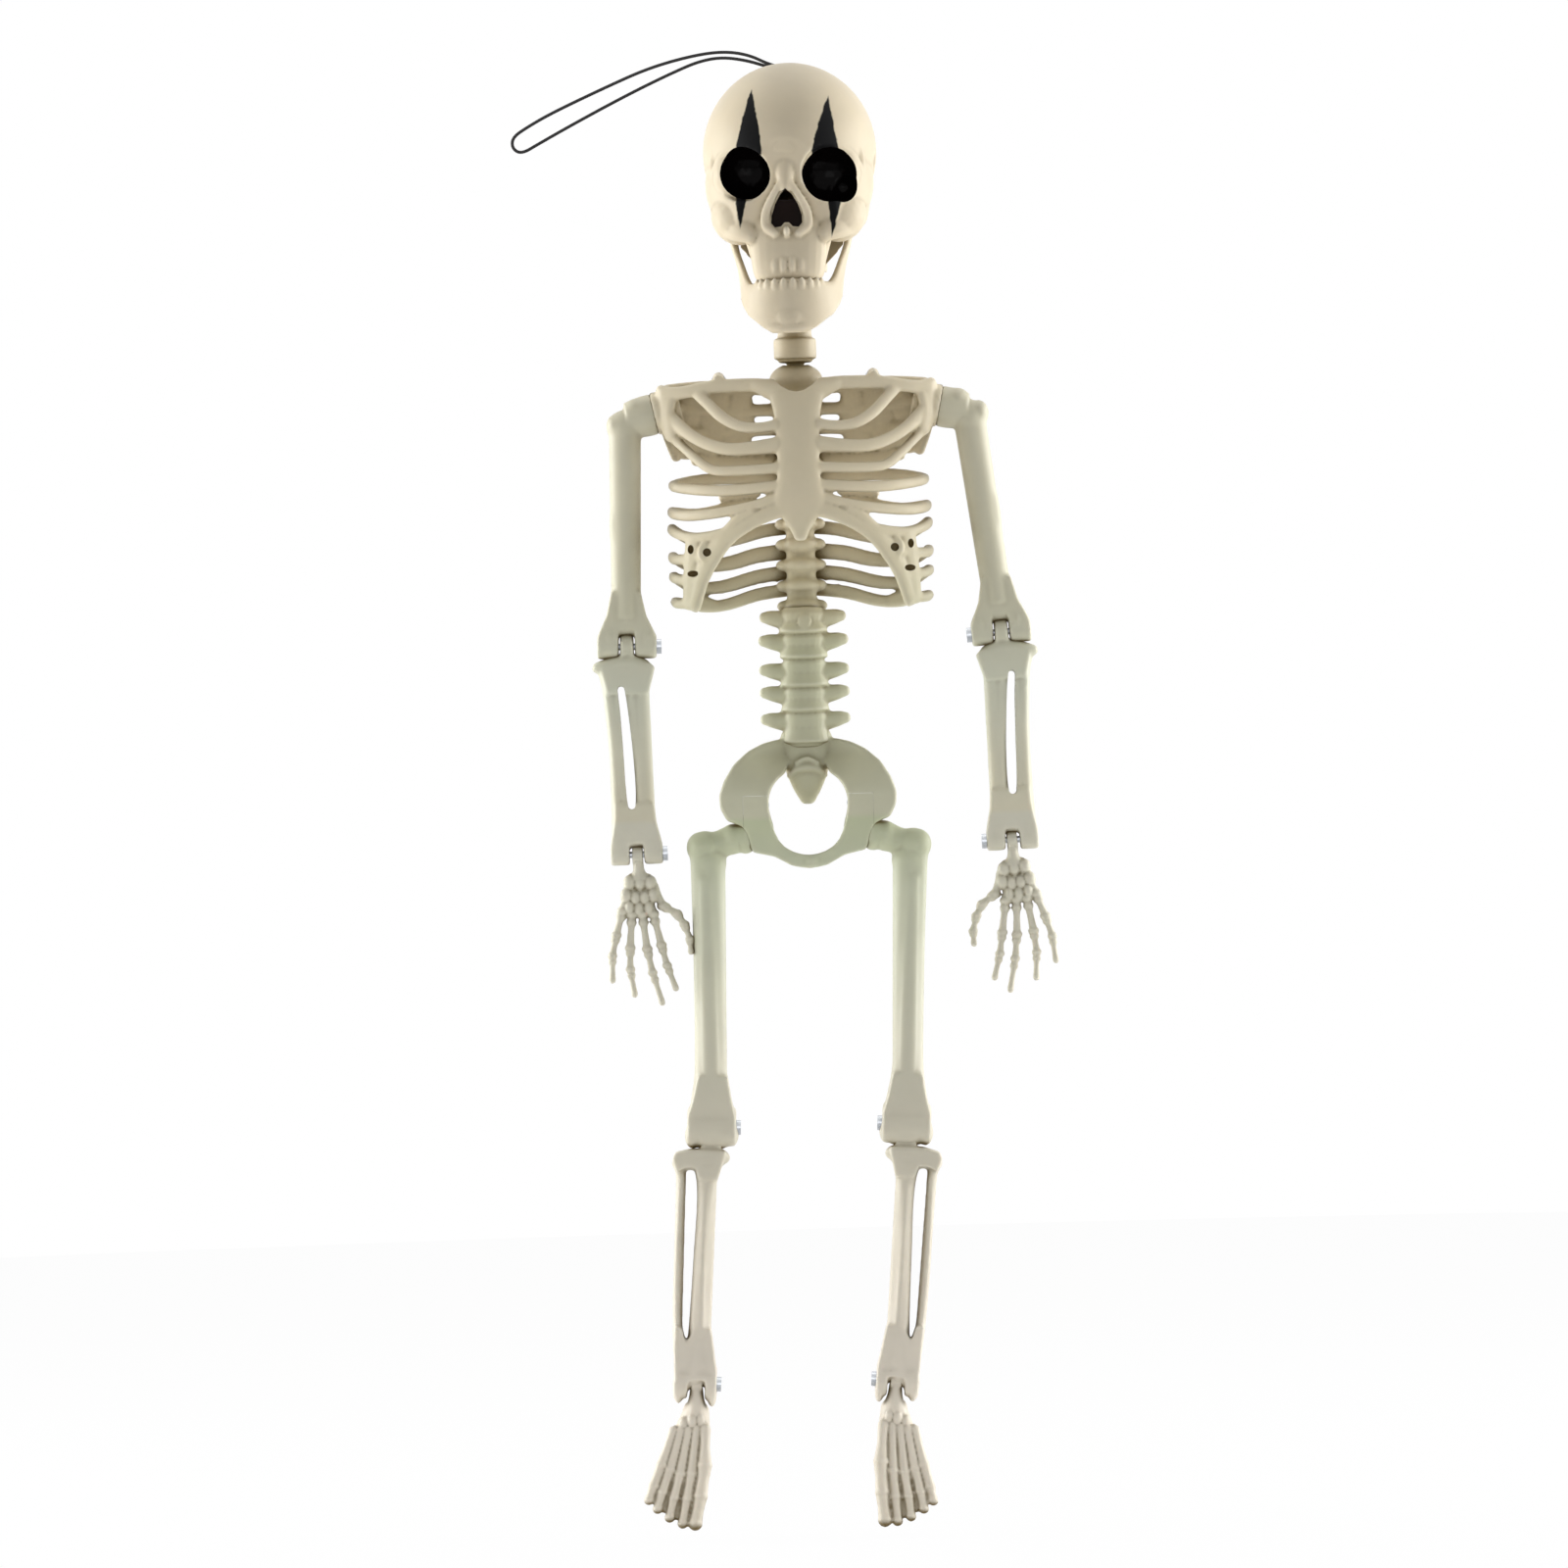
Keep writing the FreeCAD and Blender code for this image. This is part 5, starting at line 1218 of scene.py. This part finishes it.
# arms and legs are drawn once, for the figure's right, and carried to each side by its joints
def limbFrame(side, upper, lower):
    top, bottom = pivot(f"{upper}_{side}"), pivot(f"{lower}_{side}")
    down = (bottom - top).normalized()
    return jointFrame(side, top, down)


def jointFrame(side, top, down):
    outward = Vector((-down.z, 0, down.x)) * sides[side]
    return Matrix.Translation(top) @ Matrix((outward, Vector((0, 1, 0)), -down)).transposed().to_4x4()


def toSide(side, upper, lower):
    return limbFrame(side, upper, lower) @ limbFrame("right", upper, lower).inverted()


def limb(name, node, details, body, coat, carry, voxel, rounds=11, keepPartShape=True, cutter=None):
    form = bmesh.new()
    details(form)
    moved(form, carry)
    if keepPartShape:
        joined(form, copyOf(node))
    piece = welded(name, form, voxel, rounds)
    if cutter:
        hole = bmesh.new()
        cutter(hole)
        carved(piece, moved(hole, carry))
        smoothedOut(piece, 1)
    finished(piece, body, coat, [node])


def humerusDetails(form):
    # two knobs over the shoulder, the swelling down the shaft and the flare at the elbow
    ball(form, (-49.4, 0, -97.6), (2.6, 4.2, 3.4))
    ball(form, (-43.8, -0.4, -93.2), (3.4, 4.6, 3.0))
    sweep(form, [(-46.8, 0, -97, 6.6, 8.2), (-46.4, 0, -104, 7.0, 7.6), (-47.2, 0, -113, 6.6, 7.0),
                 (-48.3, 0, -124, 7.2, 7.0), (-48.1, 0, -138, 6.5, 6.6), (-47.9, 0, -147, 8.4, 6.8),
                 (-47.8, 0, -151.4, 10.8, 7.0)], segments=16, square=0.82)
    sweep(form, [(-46.5, -3.4, -103, 2.6, 1.6), (-47.6, -3.3, -122, 3.0, 1.6), (-47.8, -3.2, -143, 3.4, 1.4)])
    ball(form, (-52.7, 0, -155.0), (2.2, 3.8, 3.6))
    ball(form, (-42.4, 0, -155.4), (2.2, 3.8, 3.8))


def forearmDetails(form):
    # head plate, two bones with a slit between, and the block at the wrist
    sweep(form, [(-56.2, 0, -163.2, 3.2, 5.6), (-51.5, 0, -162.3, 4.6, 6.6), (-46.5, 0, -162.0, 4.4, 6.6),
                 (-43.6, 0, -162.4, 3.0, 5.4)], facing=(0, -1, 0))
    sweep(form, [(-54.3, 0, -164, 4.0, 6.0), (-53.4, 0, -169, 3.7, 5.2), (-52.3, 0, -180, 3.8, 5.0),
                 (-51.8, 0, -190, 3.8, 5.0), (-51.6, 0, -202, 4.0, 5.6), (-51.6, 0, -208, 4.4, 6.4)])
    sweep(form, [(-46.2, 0, -164, 4.2, 6.0), (-47.2, 0, -169, 4.1, 5.2), (-46.5, 0, -180, 4.2, 5.0),
                 (-45.4, 0, -190, 4.0, 5.0), (-45.0, 0, -200, 4.0, 5.6), (-44.4, 0, -208, 4.4, 6.4)])
    sweep(form, [(-48.6, 0, -204.5, 9.6, 5.8), (-48.4, 0, -209.2, 11.0, 6.6)], segments=16, square=0.8)
    ball(form, (-52.0, 0, -212.6), (1.9, 3.5, 4.4))
    ball(form, (-42.9, 0, -212.6), (1.7, 3.5, 4.2))


def forearmSlit(form):
    # the gap between the two bones
    sweep(form, [(-50.0, 0, -169.4, 2.2, 16), (-49.3, 0, -176, 2.4, 16), (-48.6, 0, -186, 2.8, 16),
                 (-48.2, 0, -195, 2.9, 16), (-48.0, 0, -200.8, 2.4, 16)], tip=0.9)


# how far hands and feet lean from straight down, in degrees
leans = {"hand": {"right": -4.5, "left": 1.0}, "foot": {"right": 8.0, "left": -0.5}}


def leaningFrame(side, joint, lean):
    turn = math.radians(lean)
    down = Vector((sides[side] * math.sin(turn), 0, -math.cos(turn)))
    return jointFrame(side, pivot(f"{joint}_{side}"), down)


fingers = {
    # each finger's (x, z) knuckles from the wrist down, and how far it curls forward
    "thumb": ([(-42.6, -223.0), (-40.3, -228.4), (-36.6, -230.6), (-34.6, -233.6), (-33.2, -237.6),
               (-33.0, -241.0)], 1.5),
    "index": ([(-44.6, -224.5), (-43.0, -230.5), (-41.0, -239.0), (-39.6, -244.6), (-37.4, -250.8)], 3.2),
    "middle": ([(-46.4, -224.5), (-46.0, -230.5), (-44.9, -240.0), (-43.6, -246.4), (-41.2, -254.6)], 4.0),
    "ring": ([(-48.4, -224.5), (-48.8, -230.5), (-49.5, -239.6), (-49.6, -245.4), (-48.6, -252.2)], 3.6),
    "little": ([(-49.8, -224.0), (-51.4, -229.6), (-53.2, -236.0), (-54.4, -241.6), (-54.5, -248.2)], 3.0),
}


def handDetails(form):
    # tongue of the wrist, two rows of small bones, then the fingers with a ring at each knuckle
    drum(form, (-48.2, 0, -214.3), (-45.4, 0, -214.3), 2.6)
    sweep(form, [(-46.8, 0, -214.3, 2.9, 4.4), (-46.6, 0, -218.5, 3.2, 4.0), (-46.4, -0.2, -221.0, 6.4, 4.2)])
    for x, z, wide in ((-49.2, -221.8, 2.1), (-46.4, -222.0, 2.0), (-43.6, -222.0, 2.1), (-50.2, -225.4, 2.0),
                       (-47.7, -226.0, 1.9), (-45.2, -226.0, 1.9), (-42.8, -225.4, 2.0), (-49.4, -228.6, 1.7),
                       (-46.8, -229.0, 1.8), (-44.2, -228.8, 1.7)):
        ball(form, (x, -0.5, z), (wide * 0.86, 2.1, 2.1))
    sweep(form, [(-46.4, 0.3, -220.5, 7, 2.4), (-46.6, 0.2, -226, 8.6, 2.4), (-46.6, 0.1, -230.5, 8.0, 2.2)])
    for knuckles, curl in fingers.values():
        count = len(knuckles) - 1
        stations = []
        for index, (x, z) in enumerate(knuckles):
            y = -0.2 - curl * (index / count) ** 2
            wide = 2.7 - 0.8 * index / count
            stations.append((x, y, z, wide, wide))
            if 0 < index < count:
                ball(form, (x, y, z), (wide * 0.66, wide * 0.68, wide * 0.52))
                nextX, nextZ = knuckles[index + 1]
                ball(form, (x + (nextX - x) * 0.24, y - 0.1, z + (nextZ - z) * 0.24), wide * 0.56)
            if index < count:
                nextX, nextZ = knuckles[index + 1]
                middle = ((x + nextX) / 2, y - curl * 0.1, (z + nextZ) / 2)
                stations.append((*middle, wide * 0.74, wide * 0.78))
        sweep(form, stations, segments=8, steps=2)


def femurDetails(form):
    # neck and knob at the hip, a flat-fronted shaft, and the flare over the knee
    ball(form, (-29.6, 0, -212.8), (3.9, 4.9, 4.3))
    ball(form, (-20.8, 0, -210.8), (3.4, 4.6, 4.3))
    sweep(form, [(-18.4, 0, -210.6, 7.8, 8.0), (-22.0, 0, -211.0, 7.6, 7.6), (-25.5, 0, -211.8, 6.2, 6.6),
                 (-29.5, 0, -212.8, 7.4, 7.8)], facing=(0, -1, 0))
    sweep(form, [(-28.6, 0, -213, 8.0, 8.6), (-28.3, 0, -222, 8.4, 8.4), (-28.3, 0, -240, 8.3, 8.2),
                 (-28.6, 0, -262, 8.2, 8.2), (-28.7, 0, -274, 8.8, 8.6), (-28.7, 0, -281, 11.0, 9.2),
                 (-28.6, 0, -286, 12.6, 9.6), (-28.7, 0, -290.5, 12.4, 9.6)], segments=18, square=0.84)
    sweep(form, [(-28.4, -4.0, -222, 3.6, 1.8), (-28.4, -4.0, -245, 4.2, 1.8), (-28.6, -4.0, -274, 4.6, 1.8)])
    ball(form, (-34.0, 0, -291.2), (2.2, 4.2, 3.6))
    ball(form, (-23.4, 0, -290.8), (2.0, 4.2, 3.6))


def shinDetails(form):
    # shin head with its step, two bones and the block at the ankle
    sweep(form, [(-38.2, 0, -298.6, 3.4, 5.6), (-34.0, -0.4, -298.2, 4.8, 7.4),
                 (-29.0, -0.4, -298.0, 5.4, 8.0),
                 (-25.8, 0, -297.4, 3.6, 6.4)], facing=(0, -1, 0))
    sweep(form, [(-38.0, 0, -298.6, 3.4, 5.2), (-37.4, 0, -303, 2.6, 4.4), (-37.9, 0, -310, 2.3, 4.2),
                 (-38.8, 0, -322, 2.4, 4.2), (-39.5, 0, -336, 2.6, 4.4), (-39.6, 0, -350, 3.0, 5.4)])
    sweep(form, [(-30.2, 0, -299, 8.0, 8.4), (-30.6, 0, -304, 5.6, 7.4), (-31.2, 0, -311, 4.7, 7.0),
                 (-32.2, 0, -322, 4.8, 7.0), (-33.4, 0, -336, 5.0, 7.0), (-34.2, 0, -348, 6.2, 7.4),
                 (-34.6, 0, -354, 9.0, 7.8)], segments=16, square=0.85)
    sweep(form, [(-30.9, -3.2, -306, 1.4, 1.4), (-32.1, -3.3, -322, 1.6, 1.4), (-33.5, -3.2, -345, 1.8, 1.4)])
    sweep(form, [(-36.6, 0, -351.5, 8.6, 7.0), (-35.6, 0, -356.0, 11.4, 7.8)], segments=16, square=0.8)
    ball(form, (-40.0, 0, -359.6), (1.5, 3.9, 4.4))
    ball(form, (-30.9, 0, -360.6), (1.5, 3.9, 4.6))


footRays = {
    # (x, z, width) along each toe on the figure's right, from the instep to the tip
    "little": [(-41.6, -371.2, 2.6), (-45.0, -380.2, 3.0), (-47.3, -385.6, 2.8), (-48.6, -389.2, 2.6)],
    "fourth": [(-39.6, -371.4, 2.6), (-42.7, -381.4, 2.9), (-44.9, -387.4, 2.8), (-46.3, -391.6, 2.6)],
    "middle": [(-37.5, -371.2, 2.5), (-40.0, -382.6, 2.9), (-41.8, -389.0, 2.8), (-43.1, -394.0, 2.6)],
    "second": [(-35.3, -370.8, 2.5), (-36.9, -382.6, 2.9), (-38.3, -389.4, 2.9), (-39.6, -395.6, 2.7)],
    "great": [(-32.9, -371.0, 3.1), (-33.3, -380.6, 3.8), (-34.6, -388.6, 3.6), (-36.2, -395.8, 3.5)],
}
footValues = {"drop": 0.36, "jointLift": 0.12, "webBack": 1.0}


def footFront(z):
    return -2.2 - (-371.5 - z) * footValues["drop"]


def footDetails(form):
    # tongue of the ankle, the instep's small bones, five toes on a web and the heel behind
    drum(form, (-36.5, 0, -358.4), (-33.3, 0, -358.4), 2.8)
    sweep(form, [(-34.9, 0, -358.4, 3.4, 5.0), (-35.1, 0.2, -363.0, 4.4, 6.4), (-35.4, 1.2, -367.0, 7.6, 8.0),
                 (-36.3, 1.6, -371.0, 9.8, 8.0)], segments=14)
    sweep(form, [(-35.4, 3.0, -366.5, 7.5, 7), (-35.2, 8.0, -369.5, 7.0, 7), (-35.2, 11.0, -372.6, 6.0, 5.5)],
          facing=(0, -1, -0.8), segments=14)
    for x, y, z, wide in ((-38.6, -1.2, -369.6, 1.6), (-36.4, -1.7, -368.8, 1.5), (-34.2, -1.5, -368.6, 1.3)):
        ball(form, (x, y, z), (wide, 1.7, 2.2))
    for ray in footRays.values():
        stations = []
        for index, (x, z, wide) in enumerate(ray):
            y = footFront(z)
            stations.append((x, y, z, wide * 1.08, wide * 1.1))
            if index > 0:
                ball(form, (x, y - footValues["jointLift"], z), (wide * 0.56, wide * 0.6, wide * 0.5))
            if index + 1 < len(ray):
                nextX, nextZ = ray[index + 1][:2]
                middleZ = (z + nextZ) / 2
                stations.append(((x + nextX) / 2, footFront(middleZ), middleZ, wide * 0.92, wide))
        sweep(form, stations, segments=10, steps=2)
    # web that ties the toes together
    rays = list(footRays.values())
    for ray, other in zip(rays, rays[1:]):
        web = []
        for a, b in zip(ray, other):
            z = (a[1] + b[1]) / 2
            web.append(((a[0] + b[0]) / 2, footFront(z) + footValues["webBack"], z + 0.8, 2.8, 1.5))
        sweep(form, web, segments=8, steps=2)
    sweep(form, [(-36.4, 2.2, -371.5, 9.6, 5.0), (-38.0, -0.4, -378, 11.4, 4.0),
                 (-39.6, -3.0, -384.5, 12.0, 2.6)],
          facing=(0, -0.95, 0.3), segments=14)


limbPieces = [
    # node, drawing, body, coat, the joints that carry it to its side, and its skin
    ("humerus", humerusDetails, "upper_arm", armCoat, ("shoulder", "elbow"), {"voxel": 0.36}),
    ("forearm", forearmDetails, "forearm", armCoat, ("elbow", "wrist"), {"voxel": 0.36, "cutter": forearmSlit}),
    ("hand", handDetails, "hand", armCoat, ("wrist",), {"voxel": 0.26, "rounds": 2, "keepPartShape": False}),
    ("femur", femurDetails, "thigh", boneCoat, ("hip", "knee"), {"voxel": 0.4}),
    ("shin", shinDetails, "shin", boneCoat, ("knee", "ankle"), {"voxel": 0.36}),
    ("foot", footDetails, "foot", boneCoat, ("ankle",), {"voxel": 0.3, "rounds": 2, "keepPartShape": False}),
]
for side in sides:
    for node, details, body, coat, ends, skin in limbPieces:
        if node in leans:
            start = leaningFrame("right", *ends, leans[node]["right"])
            carry = leaningFrame(side, *ends, leans[node][side]) @ start.inverted()
        else:
            carry = toSide(side, *ends)
        limb(node + side.title(), f"{node}_{side}", details, f"{body}_{side}", coat, carry, **skin)
print("arms and legs shaped")
